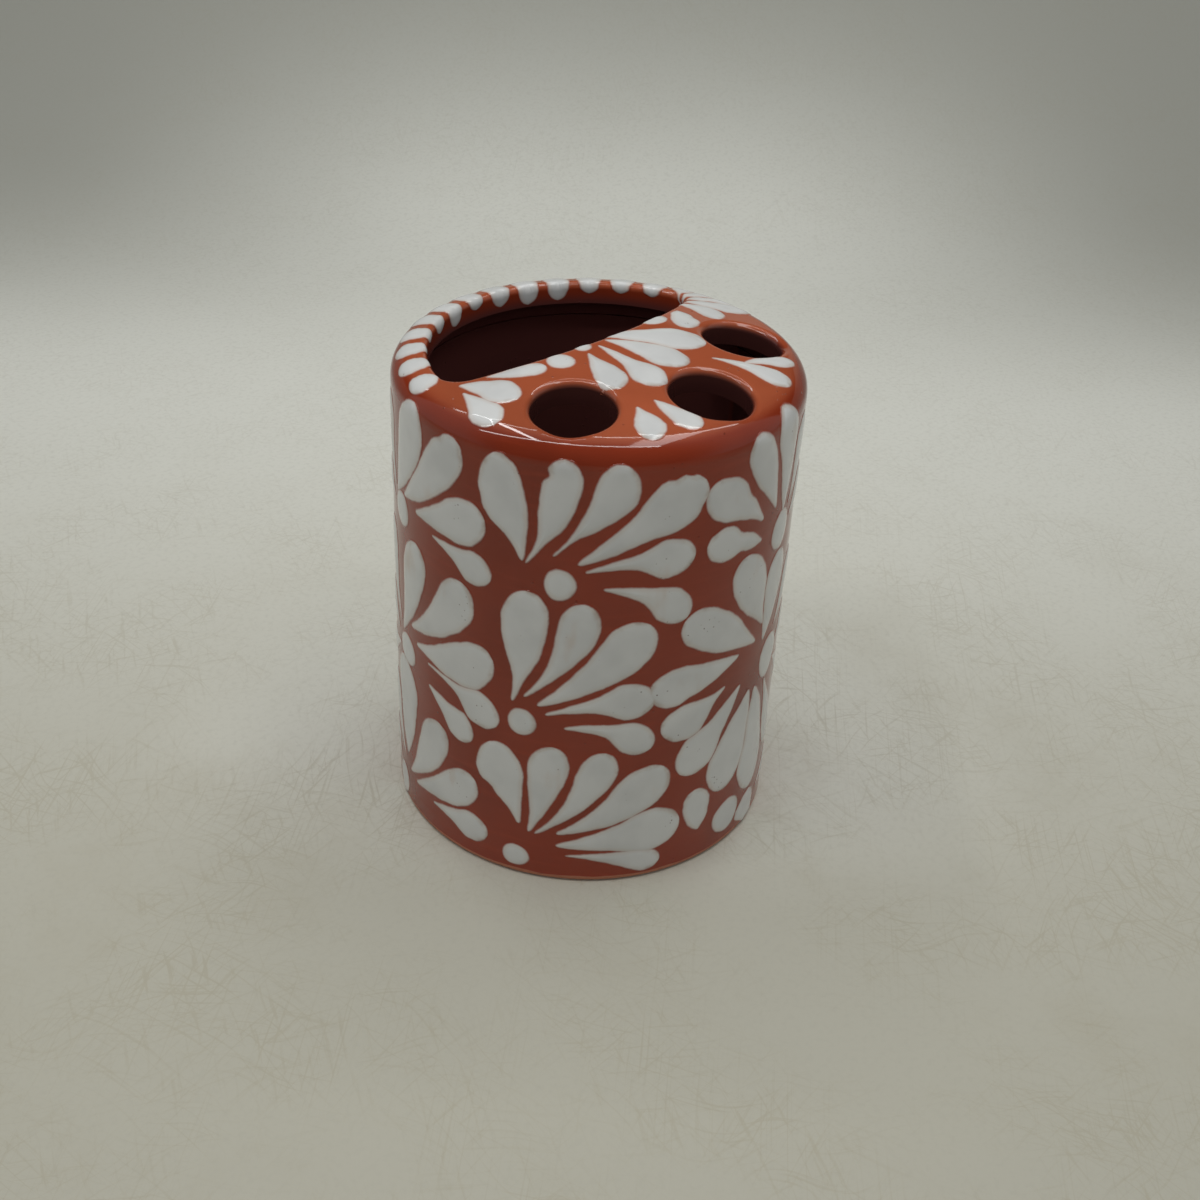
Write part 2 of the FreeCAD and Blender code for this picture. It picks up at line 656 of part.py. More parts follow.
def drum_slip(outline):
    """Slip of an outline on the unrolled drum, wrapped round the drum."""
    turns = [u / GIRTH_share * FULL_TURN for u, v in outline]
    heights = [v * size("wall_height") for u, v in outline]
    middle = (min(turns) + max(turns)) / 2
    outwards = polar(1, middle)
    aside = polar(1, middle + FULL_TURN / 4)
    reach = body_radius + size("slip_bed") + size("slip_relief")
    root = outwards * (body_radius / 2)
    points = [
        root + aside * (reach * math.sin(math.radians(turn - middle))) + Vector(0, 0, height)
        for turn, height in zip(turns, heights)
    ]
    return sound(SKIN.common(prism(points, outwards * body_radius)))


def deck_slip(plan):
    """Slip of an outline in plan, laid on the dome and kept off the mouth and the brush holes."""
    points = [Vector(x, y, deck_slip_foot) for x, y in plan]
    return sound(SKIN.common(prism(points, Vector(0, 0, crown_height))).cut(CLEARANCES))


def clearances():
    """What the slip on the deck keeps off: the mouth and the brush holes, with their rounded edges."""
    lift = Vector(0, 0, crown_height)
    margin = size("lip_round") + size("slip_bed")
    outline = Part.Wire([plan_arc(*arc).toShape() for arc in mouth_arcs(margin)])
    mouth_tool = Part.Face(outline).extrude(lift)
    mouth_tool.translate(Vector(0, 0, deck_slip_foot))
    hole_reach = hole_radius + size("brush_hole_round") + size("slip_bed")
    starts = [place + Vector(0, 0, deck_slip_foot) for place in brush_hole_places()]
    return [mouth_tool] + [Part.makeCylinder(hole_reach, crown_height, start) for start in starts]


def sheet_u(turn):
    return turn / FULL_TURN * GIRTH_share


def fan_outlines(dot_share, petal_shares):
    turn, height, radius = dot_share
    outlines = [dot(sheet_u(turn), height, radius)]
    for tip_turn, tip_height, end_turn, end_height, *form in petal_shares:
        outlines.append(teardrop(sheet_u(tip_turn), tip_height, sheet_u(end_turn), end_height, *form))
    return outlines


def deck_plan(outline):
    """An outline of deck shares, in plan."""
    depth = body_radius - edge_setback
    return [(u * body_radius, v / DECK_DEPTH_share * depth - edge_setback) for u, v in outline]


def sprig_outlines(dot_shares, petal_shares):
    outlines = [dot(u, v * DECK_DEPTH_share, radius) for u, v, radius in dot_shares]
    for tip_u, tip_v, end_u, end_v, *form in petal_shares:
        outlines.append(teardrop(tip_u, tip_v * DECK_DEPTH_share, end_u, end_v * DECK_DEPTH_share, *form))
    return outlines


def rim_outlines():
    """Petals that cross the rim, their heads towards the outside."""
    form = teardrop(0, 0, 1, 0, RIM_HALF_WIDTH_share, RIM_WAIST_share, 0)
    shares = [RIM_TIP_share * (1 - u) + RIM_END_share * u for u, v in form]
    reaches = [body_radius - size("rim_width") * share for share in shares]
    sways = [v / RIM_HALF_WIDTH_share * RIM_FILL_share / 2 for u, v in form]
    outlines = []
    for index in range(RIM_PETALS):
        turns = [RIM_FIRST_TURN + (index + sway) * RIM_TURN_STEP for sway in sways]
        outlines.append([tuple(polar(reach, turn))[:2] for reach, turn in zip(reaches, turns)])
    return outlines


def slip_node(label, solids):
    node = doc.addObject("Part::Feature", label)
    node.Label = label
    node.Shape = Part.makeCompound(solids)
    node.Placement = FreeCAD.Placement()
    return node


# slip on the deck reaches no lower than this on the shoulder
deck_slip_foot = size("wall_height") + shoulder_radius / 4
SKIN = slip_skin()
CLEARANCES = clearances()
slip_nodes = []
for place, (dot_share, petal_shares) in FAN_shares.items():
    front = [solid for outline in fan_outlines(dot_share, petal_shares) for solid in drum_slip(outline)]
    back = [solid.rotated(Vector(), Vector(0, 0, 1), HALF_TURN) for solid in front]
    slip_nodes.append(slip_node(f"front_{place}_fan", front))
    slip_nodes.append(slip_node(f"back_{place}_fan", back))
for label, (dot_shares, petal_shares) in DECK_shares.items():
    outlines = sprig_outlines(dot_shares, petal_shares)
    slip_nodes.append(slip_node(label, [s for outline in outlines for s in deck_slip(deck_plan(outline))]))
slip_nodes.append(slip_node("rim_petals", [s for outline in rim_outlines() for s in deck_slip(outline)]))

doc.recompute()

# Nothing is written unless every object is sound
for item in doc.Objects:
    if "Invalid" in item.State or "Error" in item.State:
        raise RuntimeError(f"{item.Label} failed: {item.State}")
for before, after in ((tube, lap), (cap, mouth), (mouth, hole), (hole, holes)):
    if after.Shape.Volume >= before.Shape.Volume:
        raise RuntimeError(f"{after.Label} cuts nothing")
nodes = [floor, wall, deck] + slip_nodes
for node in nodes:
    if node.Shape.isNull() or not node.Shape.isValid():
        raise RuntimeError(f"{node.Label} has no sound shape")
for node in nodes:
    node.Shape.exportStep(f"parts/{node.Label}.step")
    print(node.Label, len(node.Shape.Solids), "solids", round(node.Shape.Volume, 2), "mm3")
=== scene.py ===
import json
import math

import bpy
import numpy as np
from bpy.props import FloatProperty, FloatVectorProperty, PointerProperty
from mathutils import Matrix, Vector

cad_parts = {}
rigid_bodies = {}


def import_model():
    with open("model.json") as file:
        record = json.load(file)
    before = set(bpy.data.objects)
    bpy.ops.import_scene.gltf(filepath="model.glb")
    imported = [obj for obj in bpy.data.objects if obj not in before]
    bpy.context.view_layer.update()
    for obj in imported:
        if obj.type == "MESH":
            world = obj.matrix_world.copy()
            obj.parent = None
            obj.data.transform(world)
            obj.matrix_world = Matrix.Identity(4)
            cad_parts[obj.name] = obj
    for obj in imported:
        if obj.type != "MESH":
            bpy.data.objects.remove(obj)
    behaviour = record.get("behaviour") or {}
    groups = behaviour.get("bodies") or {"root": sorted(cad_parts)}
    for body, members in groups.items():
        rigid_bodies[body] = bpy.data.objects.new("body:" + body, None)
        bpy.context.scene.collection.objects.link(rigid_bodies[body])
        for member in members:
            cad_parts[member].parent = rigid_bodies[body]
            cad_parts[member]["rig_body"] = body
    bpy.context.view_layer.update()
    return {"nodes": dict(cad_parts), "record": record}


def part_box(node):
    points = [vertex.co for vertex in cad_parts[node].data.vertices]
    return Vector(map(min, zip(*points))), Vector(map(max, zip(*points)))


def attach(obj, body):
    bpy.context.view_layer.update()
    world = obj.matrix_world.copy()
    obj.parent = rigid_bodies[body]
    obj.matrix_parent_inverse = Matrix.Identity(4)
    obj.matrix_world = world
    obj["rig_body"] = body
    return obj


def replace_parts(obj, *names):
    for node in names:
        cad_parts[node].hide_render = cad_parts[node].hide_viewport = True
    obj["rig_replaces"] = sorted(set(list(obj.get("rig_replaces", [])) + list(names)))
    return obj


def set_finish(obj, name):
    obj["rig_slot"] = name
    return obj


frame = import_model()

# Toothbrush holder: glaze on the clay, raised white slip on the drum, deck and rim, and a light box
# to see it in. Metres, +Z up, origin at the middle of the standing face, brush holes towards -Y.

bl_info = {
    "name": "Toothbrush holder",
    "version": (1, 0, 0),
    "blender": (4, 5, 0),
    "location": "View3D > Sidebar > Holder",
    "description": "Glazes a clay toothbrush holder, trails its slip ornament and sets up its stage",
    "category": "Object",
}

WALL_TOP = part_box("body_wall")[1]
BRUSH_HOLES = [mount for mount in frame["record"]["mounts"] if mount["kind"] == "bore"]
CLAY_NODES = ("base_floor", "body_wall", "top_deck")
MILLIMETRE = 0.001
FULL_TURN = 360.0

# Petal blank: its mesh, the drop of its skirt, the ring that counts as its outline and its least chord
BLANK_SEGMENTS = 56
BLANK_RINGS = 22
SKIRT_DROP = 1.0
OUTLINE_RING = 1 - 1e-4
LEAST_CHORD = 1e-6

# An uneven hand: waves along a petal, slow and quick, the quick ones' share, and the seed of its draws
SLOW_WAVES = 2.1
QUICK_WAVES = 5.3
QUICK_share = 0.6
SEED = 7

# Drum's outside unrolled: its girth as a share of the wall's height, the sheet the fans are drawn on
GIRTH_share = 2.66
# Deck's depth, from the middle of its edge to the front, as a share of the drum's radius
DECK_DEPTH_share = 0.96

# Teardrop: the places along the tail where its width is given, as shares of the length up to the
# belly, the blunt tip's half width and run, and the head's length as a share of the half width
TAIL_PLACE_shares = (0.0, 0.30, 0.62, 1.0)
TIP_WIDTH_share = 0.08
TIP_RUN_share = 0.03
HEAD_LENGTH_share = 1.3
# Its thin rim: how square the rim's ends are, its share of the bleed at the tip and its growth
BLEED_POWER = 40
TIP_BLEED_share = 0.6
BLEED_GROWTH = 1.6

# Fans on the drum, each a dot and then its petals. A dot is (turn, height, half width, height over
# width). A petal is (tip turn, tip height, end turn, end height, half width, waist, bow, tail, skew).
# Turns are in degrees, heights and half widths are shares of the wall's height. Waist and tail are
# shares of the half width, the bow of the petal's spine is a share of its length, to the left as seen
# from the tip, and the skew is how much wider the petal's left side is.
FAN_shares = {
    "left_upper": (
        (-202.2, 0.762, 0.036, 1.05),
        (-205.9, 0.793, -193.6, 1.024, 0.052, 0.83, -0.057, 0.47, 0.03),
        (-199.8, 0.804, -175.3, 1.004, 0.046, 0.82, -0.084, 0.53, 0.07),
        (-192.2, 0.792, -165.5, 0.856, 0.051, 0.62, -0.007, 0.34, -0.10),
        (-184.1, 0.766, -163.7, 0.724, 0.037, 0.46, 0.046, 0.21, -0.02),
        (-207.5, 0.800, -214.5, 0.985, 0.036, 0.70, 0.080, 0.32, 0.00),
        (-209.5, 0.765, -222.0, 0.810, 0.034, 0.60, 0.000, 0.27, 0.00),
    ),
    "left_middle": (
        (-200.2, 0.426, 0.041, 0.88),
        (-203.4, 0.467, -193.2, 0.715, 0.048, 0.78, -0.065, 0.42, 0.14),
        (-196.4, 0.504, -172.4, 0.694, 0.049, 0.73, -0.097, 0.40, -0.14),
        (-193.0, 0.471, -162.6, 0.540, 0.054, 0.71, -0.028, 0.31, -0.27),
        (-187.0, 0.447, -161.4, 0.378, 0.042, 0.30, 0.087, 0.12, 0.08),
        (-186.6, 0.394, -169.7, 0.315, 0.037, 0.56, 0.032, 0.30, 0.08),
        (-205.0, 0.482, -213.5, 0.700, 0.037, 0.70, 0.080, 0.32, 0.00),
        (-208.0, 0.448, -221.0, 0.520, 0.034, 0.60, 0.000, 0.27, 0.00),
        (-207.0, 0.412, -221.0, 0.368, 0.032, 0.50, 0.000, 0.23, 0.00),
    ),
    "left_lower": (
        (-206.4, 0.047, 0.034, 1.15),
        (-201.8, 0.139, -203.1, 0.395, 0.059, 0.77, -0.007, 0.50, -0.12),
        (-199.5, 0.102, -182.2, 0.313, 0.046, 0.79, -0.088, 0.40, 0.08),
        (-195.0, 0.091, -168.1, 0.214, 0.045, 0.71, -0.021, 0.36, -0.23),
        (-185.1, 0.083, -163.8, 0.078, 0.038, 0.52, 0.052, 0.24, -0.05),
        (-203.8, 0.120, -215.5, 0.300, 0.034, 0.68, 0.080, 0.31, 0.00),
        (-210.0, 0.085, -221.0, 0.150, 0.029, 0.70, 0.000, 0.32, 0.00),
    ),
    "centre_upper": (
        (-144.2, 0.750, 0.031, 1.11),
        (-154.5, 0.792, -162.9, 1.005, 0.047, 0.96, -0.045, 0.41, 0.34),
        (-153.5, 0.789, -144.2, 1.017, 0.038, 0.78, -0.084, 0.26, 0.04),
        (-146.1, 0.814, -128.3, 1.010, 0.043, 0.55, -0.038, 0.13, -0.34),
        (-139.6, 0.800, -107.3, 0.965, 0.056, 0.52, -0.014, 0.31, 0.04),
        (-137.4, 0.783, -108.6, 0.804, 0.043, 0.39, 0.066, 0.19, -0.10),
        (-132.6, 0.745, -109.7, 0.662, 0.039, 0.48, 0.108, 0.25, 0.11),
    ),
    "centre_middle": (
        (-153.5, 0.410, 0.030, 1.08),
        (-156.5, 0.459, -153.4, 0.724, 0.048, 0.81, -0.052, 0.28, 0.14),
        (-153.1, 0.476, -137.6, 0.710, 0.042, 0.61, -0.090, 0.24, -0.08),
        (-149.1, 0.460, -119.9, 0.660, 0.053, 0.64, -0.046, 0.35, -0.08),
        (-146.7, 0.439, -116.7, 0.477, 0.044, 0.43, 0.062, 0.19, 0.01),
        (-141.4, 0.409, -117.3, 0.352, 0.039, 0.40, 0.132, 0.25, 0.02),
    ),
    "centre_lower": (
        (-154.5, 0.052, 0.030, 0.93),
        (-153.8, 0.143, -163.0, 0.336, 0.055, 0.63, -0.043, 0.27, 0.21),
        (-150.8, 0.126, -144.6, 0.358, 0.043, 0.71, -0.042, 0.34, 0.13),
        (-148.9, 0.124, -129.8, 0.350, 0.040, 0.63, -0.086, 0.26, -0.03),
        (-142.4, 0.132, -112.6, 0.298, 0.053, 0.66, -0.068, 0.32, -0.01),
        (-142.5, 0.098, -106.0, 0.139, 0.058, 0.57, 0.002, 0.30, 0.04),
        (-139.6, 0.071, -111.9, 0.039, 0.030, 0.57, 0.057, 0.26, -0.10),
    ),
    "right_upper": (
        (-72.7, 0.763, 0.039, 1.16),
        (-84.5, 0.825, -106.0, 0.934, 0.047, 0.67, -0.053, 0.32, 0.06),
        (-78.0, 0.832, -90.5, 1.018, 0.040, 0.82, -0.013, 0.43, 0.03),
        (-72.5, 0.806, -75.9, 1.039, 0.045, 0.71, -0.029, 0.45, -0.18),
        (-84.1, 0.777, -104.7, 0.814, 0.039, 0.58, -0.025, 0.44, -0.01),
        (-68.5, 0.812, -60.5, 0.985, 0.038, 0.75, -0.080, 0.34, 0.00),
        (-66.0, 0.775, -51.0, 0.840, 0.040, 0.65, 0.000, 0.29, 0.00),
    ),
    "right_middle": (
        (-70.2, 0.445, 0.046, 1.16),
        (-77.9, 0.557, -91.2, 0.753, 0.050, 0.89, 0.017, 0.39, -0.10),
        (-76.3, 0.508, -71.3, 0.710, 0.047, 0.81, -0.032, 0.47, -0.05),
        (-81.2, 0.524, -109.6, 0.652, 0.049, 0.83, -0.002, 0.43, -0.04),
        (-88.9, 0.516, -118.5, 0.486, 0.047, 0.70, -0.013, 0.40, 0.01),
        (-93.5, 0.453, -114.0, 0.387, 0.047, 0.63, 0.016, 0.22, 0.21),
        (-86.7, 0.433, -106.9, 0.264, 0.051, 0.58, 0.007, 0.35, -0.01),
        (-81.5, 0.400, -91.6, 0.169, 0.059, 0.78, 0.000, 0.49, -0.09),
        (-78.1, 0.394, -74.0, 0.101, 0.059, 0.69, 0.052, 0.51, -0.19),
        (-71.0, 0.385, -58.5, 0.165, 0.038, 0.70, 0.000, 0.32, 0.00),
        (-68.0, 0.515, -55.0, 0.655, 0.040, 0.70, -0.050, 0.32, 0.00),
        (-63.5, 0.455, -50.0, 0.500, 0.040, 0.60, 0.000, 0.27, 0.00),
        (-64.5, 0.412, -50.0, 0.320, 0.034, 0.60, 0.050, 0.27, 0.00),
    ),
    "right_lower": (
        (-86.4, 0.080, 0.045, 0.98),
        (-98.7, 0.089, -101.2, 0.204, 0.036, 0.84, 0.001, 0.61, -0.06),
        (-75.3, 0.008, -72.9, 0.088, 0.046, 0.82, -0.018, 0.41, 0.13),
        (-66.0, 0.060, -50.5, 0.105, 0.034, 0.60, 0.000, 0.27, 0.00),
    ),
}

# Nicks in the outlines of a few petals: the fan and the petal's number in it, then each nick's side
# (1 is the left as seen from the tip), place along the petal, depth as a share of the half width and
# run as a share of the length
FAN_NICKS = {
    ("left_upper", 1): ((1, 0.90, 0.16, 0.05), (-1, 0.94, 0.10, 0.03)),
    ("centre_upper", 0): ((-1, 0.93, 0.14, 0.04),),
    ("centre_upper", 1): ((1, 0.85, 0.32, 0.045), (-1, 0.22, 0.20, 0.07)),
    ("centre_upper", 3): ((1, 0.86, 0.14, 0.04), (1, 0.95, 0.20, 0.02), (-1, 0.90, 0.12, 0.04)),
    ("centre_lower", 0): ((1, 0.45, 0.14, 0.06),),
    ("right_upper", 0): ((-1, 0.42, 0.16, 0.07), (1, 0.40, 0.10, 0.05)),
    ("right_upper", 3): ((1, 0.38, 0.18, 0.06), (-1, 0.46, 0.12, 0.05)),
    ("right_middle", 3): ((1, 0.62, 0.10, 0.06),),
}

# Sprigs on the deck, each its dots and then its petals. Places across are shares of the drum's radius.
# Places in depth are shares of the run from the middle of the deck's edge to the front, below zero
# towards the front. Half widths and dots are shares of the radius.
DECK_shares = {
    "deck_left_sprig": (
        ((-0.355, -0.050, 0.063, 1.09),),
        (-0.835, 0.084, -0.903, -0.206, 0.076, 0.67, 0.031, 0.32, 0.03),
        (-0.804, 0.147, -0.718, -0.146, 0.088, 0.69, 0.077, 0.40, 0.09),
        (-0.679, 0.105, -0.438, -0.034, 0.054, 0.77, -0.043, 0.45, -0.02),
    ),
    "deck_centre_fan": (
        ((-0.183, -0.015, 0.042, 1.00),),
        (-0.210, -0.087, -0.333, -0.410, 0.077, 0.75, -0.012, 0.33, 0.19),
        (-0.117, -0.059, -0.154, -0.514, 0.087, 0.45, 0.013, 0.26, 0.07),
        (-0.052, -0.036, 0.069, -0.453, 0.097, 0.71, 0.072, 0.38, -0.04),
        (-0.020, -0.009, 0.329, -0.343, 0.117, 0.65, 0.069, 0.43, -0.03),
    ),
    "deck_right_sprig": (
        ((0.325, 0.004, 0.078, 0.67),),
        (0.536, 0.035, 0.404, -0.164, 0.070, 0.81, -0.024, 0.64, 0.13),
        (0.625, 0.123, 0.641, -0.139, 0.072, 0.78, 0.135, 0.47, 0.28),
        (0.686, 0.133, 0.923, -0.126, 0.081, 0.74, 0.081, 0.52, -0.26),
    ),
    "deck_corner_fan": (
        (),
        (0.745, 0.163, 0.977, -0.001, 0.060, 0.64, 0.090, 0.60, 0.07),
        (0.765, 0.216, 0.999, 0.158, 0.061, 0.63, 0.060, 0.48, 0.11),
        (0.766, 0.241, 0.983, 0.318, 0.068, 0.66, 0.090, 0.12, 0.14),
    ),
    "deck_front_left_pair": (
        (),
        (-0.373, -0.574, -0.476, -0.789, 0.070, 0.78, 0.012, 0.34, 0.15),
        (-0.271, -0.584, -0.240, -0.853, 0.065, 0.67, -0.029, 0.41, -0.08),
    ),
    "deck_front_right_pair": (
        (),
        (0.244, -0.469, 0.391, -0.833, 0.075, 0.56, 0.080, 0.27, 0.18),
        (0.352, -0.580, 0.611, -0.680, 0.057, 0.66, 0.067, 0.38, -0.12),
    ),
}

# Lobes across the rim: turns in degrees, the outer end as a share of the rim's width from the
# outside, how much of its step a lobe fills, its width at the inner end, and how far each lobe hangs
# over the mouth's edge as a share of the rim's width
RIM_FIRST_TURN = 162.6
RIM_TURN_STEP = 11.4
RIM_END_share = 0.05
RIM_FILL_share = 0.80
RIM_NARROW_share = 0.86
RIM_HANG_shares = (-0.12, 0.00, 0.03, 0.10, 0.22, 0.36, 0.16, 0.30, 0.40, 0.36, 0.16, 0.12, 0.10)
LOBE_POWER = 2.8


def length_prop(name, description, default):
    return FloatProperty(name=name, description=description, default=default, unit="LENGTH")


def angle_prop(name, description, degrees):
    return FloatProperty(name=name, description=description, default=math.radians(degrees), subtype="ANGLE")


def colour_prop(name, description, *channels):
    return FloatVectorProperty(name=name, description=description, default=channels, subtype="COLOR")


class HolderSizes(bpy.types.PropertyGroup):
    """Sizes of the holder that its slip follows."""

    drum_radius: length_prop("Drum radius", "Axis to the outside of the wall", WALL_TOP.x)
    wall_height: length_prop("Wall height", "Standing face to the foot of the shoulder", WALL_TOP.z)
    shoulder_radius: length_prop("Shoulder", "Radius of the shoulder", 0.005)
    crown_lift: length_prop("Crown lift", "Crown of the dome over the shoulder", 0.0035)
    hole_round: length_prop("Hole edge", "Radius of the brush holes' edges", 0.0014)
    rim_width: length_prop("Rim width", "Outside to the mouth's round side", 0.007)
    deck_land: length_prop("Deck land", "Outer brush holes to the deck's edge", 0.0065)
    deck_edge_radius: length_prop("Deck edge", "Radius of the deck's shallow edge", 0.070)
    mouth_corner_radius: length_prop("Mouth corner", "Radius of the mouth's corners", 0.005)
    lip_round: length_prop("Lip", "Radius of the mouth's lip", 0.0012)
    slip_relief: length_prop("Slip relief", "Height of the slip over the glaze", 0.00022)
    slip_edge: length_prop("Slip edge", "Width over which the slip falls to the glaze", 0.0024)
    slip_bleed: length_prop("Slip bleed", "Run of the slip's thin rim, where the glaze shows", 0.0003)
    slip_sink: length_prop("Slip sink", "Depth of the slip's skirt in the glaze", 0.0002)
    slip_wobble: FloatProperty(
        name="Slip wobble", description="Unevenness of a petal's width", default=0.022, subtype="FACTOR"
    )


class HolderColours(bpy.types.PropertyGroup):
    """Colours of the glaze, the slip and the stage."""

    wall_ground: colour_prop("Wall ground", "Glaze on the wall", 0.265, 0.035, 0.0125)
    deck_ground: colour_prop("Deck ground", "Glaze on the deck", 0.400, 0.094, 0.040)
    # painted shade: a dark colour that stands for the shade in the cup and the brush holes
    painted_inside_shade: colour_prop("Inside ground", "Glaze in the cup and the brush holes", 0.095, 0.033, 0.030)
    bare_clay: colour_prop("Bare clay", "Clay at the foot", 0.48, 0.18, 0.10)
    slip_white: colour_prop("Slip white", "Slip where it is thick", 0.684, 0.688, 0.670)
    slip_shade: colour_prop("Slip shade", "Slip where it is thinner", 0.609, 0.614, 0.600)
    slip_stain: colour_prop("Slip stain", "Clay that stains the slip", 0.52, 0.33, 0.20)
    pinhole: colour_prop("Pinhole", "Pits in the slip", 0.13, 0.065, 0.05)
    # near board: darker than the far board as painted shade of the box's open front; it also colours the
    # stains and grain
    near_board: colour_prop("Near board", "Worn board in front of the holder", 0.522, 0.506, 0.414)
    far_board: colour_prop("Far board", "Clean board behind the holder", 0.860, 0.860, 0.777)
    high_board: colour_prop("High board", "Board where it curves up, away from the lamps", 0.44, 0.44, 0.385)


class HolderStage(bpy.types.PropertyGroup):
    """Camera and lamps. Turns are about the holder's axis."""

    heading: angle_prop("Heading", "Turn of the camera's line of sight", 42.9)
    camera_place: FloatVectorProperty(
        name="Camera", description="Place of the camera", default=(-0.2055, -0.1943, 0.2247), unit="LENGTH"
    )
    pitch: angle_prop("Pitch", "Camera's tilt below the horizon", 32.77)
    roll: angle_prop("Roll", "Camera's turn about its line of sight", 3.06)
    lens: FloatProperty(name="Lens", description="Focal length", default=48.0, unit="CAMERA")
    sensor: FloatProperty(name="Sensor", description="Width of the sensor", default=36.0, unit="CAMERA")
    lamp_height: length_prop("Lamp height", "Floor to the strip lamps", 0.50)
    lamp_power: FloatProperty(
        name="Lamp power", description="Power of a strip lamp whose share is one", default=0.45, unit="POWER"
    )
    world_light: FloatProperty(name="Fill", description="Light of the box's white walls", default=0.34)


def holder_sizes():
    return bpy.context.scene.holder_sizes


def holder_colours():
    return bpy.context.scene.holder_colours


def holder_stage():
    return bpy.context.scene.holder_stage


# Shader writing. Noise scales are features to the metre.


class Tone:
    """A shader socket that can be reckoned with: each operator adds a Math node."""

    def __init__(self, recipe, socket):
        self.recipe = recipe
        self.socket = socket

    def reckon(self, operation, first, second):
        return self.recipe.node("ShaderNodeMath", {"operation": operation}, {0: first, 1: second})

    def __add__(self, other):
        return self.reckon("ADD", self, other)

    def __radd__(self, other):
        return self.reckon("ADD", other, self)

    def __sub__(self, other):
        return self.reckon("SUBTRACT", self, other)

    def __rsub__(self, other):
        return self.reckon("SUBTRACT", other, self)

    def __mul__(self, other):
        return self.reckon("MULTIPLY", self, other)

    def __rmul__(self, other):
        return self.reckon("MULTIPLY", other, self)


class Recipe:
    """The nodes of one material or world."""

    def __init__(self, owner):
        owner.use_nodes = True
        self.tree = owner.node_tree
        self.tree.nodes.clear()

    def node(self, kind, settings=None, sockets=None, output=0):
        """A node with its settings, the values or links of its sockets, and the output that is wanted."""
        made = self.tree.nodes.new(kind)
        for name, value in (settings or {}).items():
            setattr(made, name, value)
        for name, value in (sockets or {}).items():
            if isinstance(value, Tone):
                self.tree.links.new(value.socket, made.inputs[name])
            else:
                made.inputs[name].default_value = value
        return Tone(self, made.outputs[output]) if made.outputs else None

    def vector(self, operation, first, second, output=0):
        return self.node("ShaderNodeVectorMath", {"operation": operation}, {0: first, 1: second}, output)

    def length(self, vector):
        return self.node("ShaderNodeVectorMath", {"operation": "LENGTH"}, {0: vector}, "Value")

    def object_place(self):
        return self.node("ShaderNodeTexCoord", output="Object")

    def stretched(self, place, scale):
        return self.node("ShaderNodeMapping", {}, {"Vector": place, "Scale": scale})

    def noise(self, place, scale, detail=2.0, roughness=0.5):
        sockets = {"Vector": place, "Scale": scale, "Detail": detail, "Roughness": roughness}
        return self.node("ShaderNodeTexNoise", {}, sockets)

    def cells(self, place, scale):
        return self.node("ShaderNodeTexVoronoi", {}, {"Vector": place, "Scale": scale}, "Distance")

    def between(self, value, low, high, from_low=0.0, to_high=1.0):
        """A smooth step that goes from one value to another between the two limits."""
        sockets = {"Value": value, "From Min": low, "From Max": high, "To Min": from_low, "To Max": to_high}
        return self.node("ShaderNodeMapRange", {"interpolation_type": "SMOOTHSTEP"}, sockets)

    def blend(self, factor, first, second):
        """A colour between two colours."""
        # the Mix node's sockets for colours have numbers, as its names repeat for other kinds
        factor_in, first_in, second_in, colour_out = 0, 6, 7, 2
        sockets = {factor_in: factor, first_in: first, second_in: second}
        return self.node("ShaderNodeMix", {"data_type": "RGBA"}, sockets, colour_out)

    def bump(self, height, distance, strength):
        return self.node("ShaderNodeBump", {}, {"Height": height, "Distance": distance, "Strength": strength})

    def finish(self, base, roughness, normal):
        sockets = {"Base Color": base, "Roughness": roughness, "Normal": normal}
        shader = self.node("ShaderNodeBsdfPrincipled", {}, sockets)
        self.node("ShaderNodeOutputMaterial", {}, {"Surface": shader})


def opaque(colour):
    return (*colour, 1.0)


def shaded(colour, share):
    """A colour made darker or lighter by a share."""
    return opaque([channel * share for channel in colour])


def ground_colour(recipe, place, height):
    """Terracotta glaze as it was brushed on: redder on the wall, more orange on the deck."""
    sizes, colours = holder_sizes(), holder_colours()
    deck_low = sizes.wall_height + 0.72 * sizes.shoulder_radius
    deck_high = sizes.wall_height + 1.04 * sizes.shoulder_radius
    deck = recipe.between(height, deck_low, deck_high)
    ground = recipe.blend(deck, opaque(colours.wall_ground), opaque(colours.deck_ground))
    cloud = recipe.noise(place, 42.0, 3.0)
    dark = recipe.blend(deck, shaded(colours.wall_ground, 0.80), shaded(colours.deck_ground, 0.84))
    mottled = recipe.blend(recipe.between(cloud, 0.40, 0.74), ground, dark)
    brush = recipe.noise(recipe.stretched(place, (55.0, 55.0, 620.0)), 1.0, 3.0)
    pale = recipe.blend(deck, shaded(colours.wall_ground, 1.25), shaded(colours.deck_ground, 1.14))
    return recipe.blend(recipe.between(brush, 0.50, 0.80) * 0.45, mottled, pale)


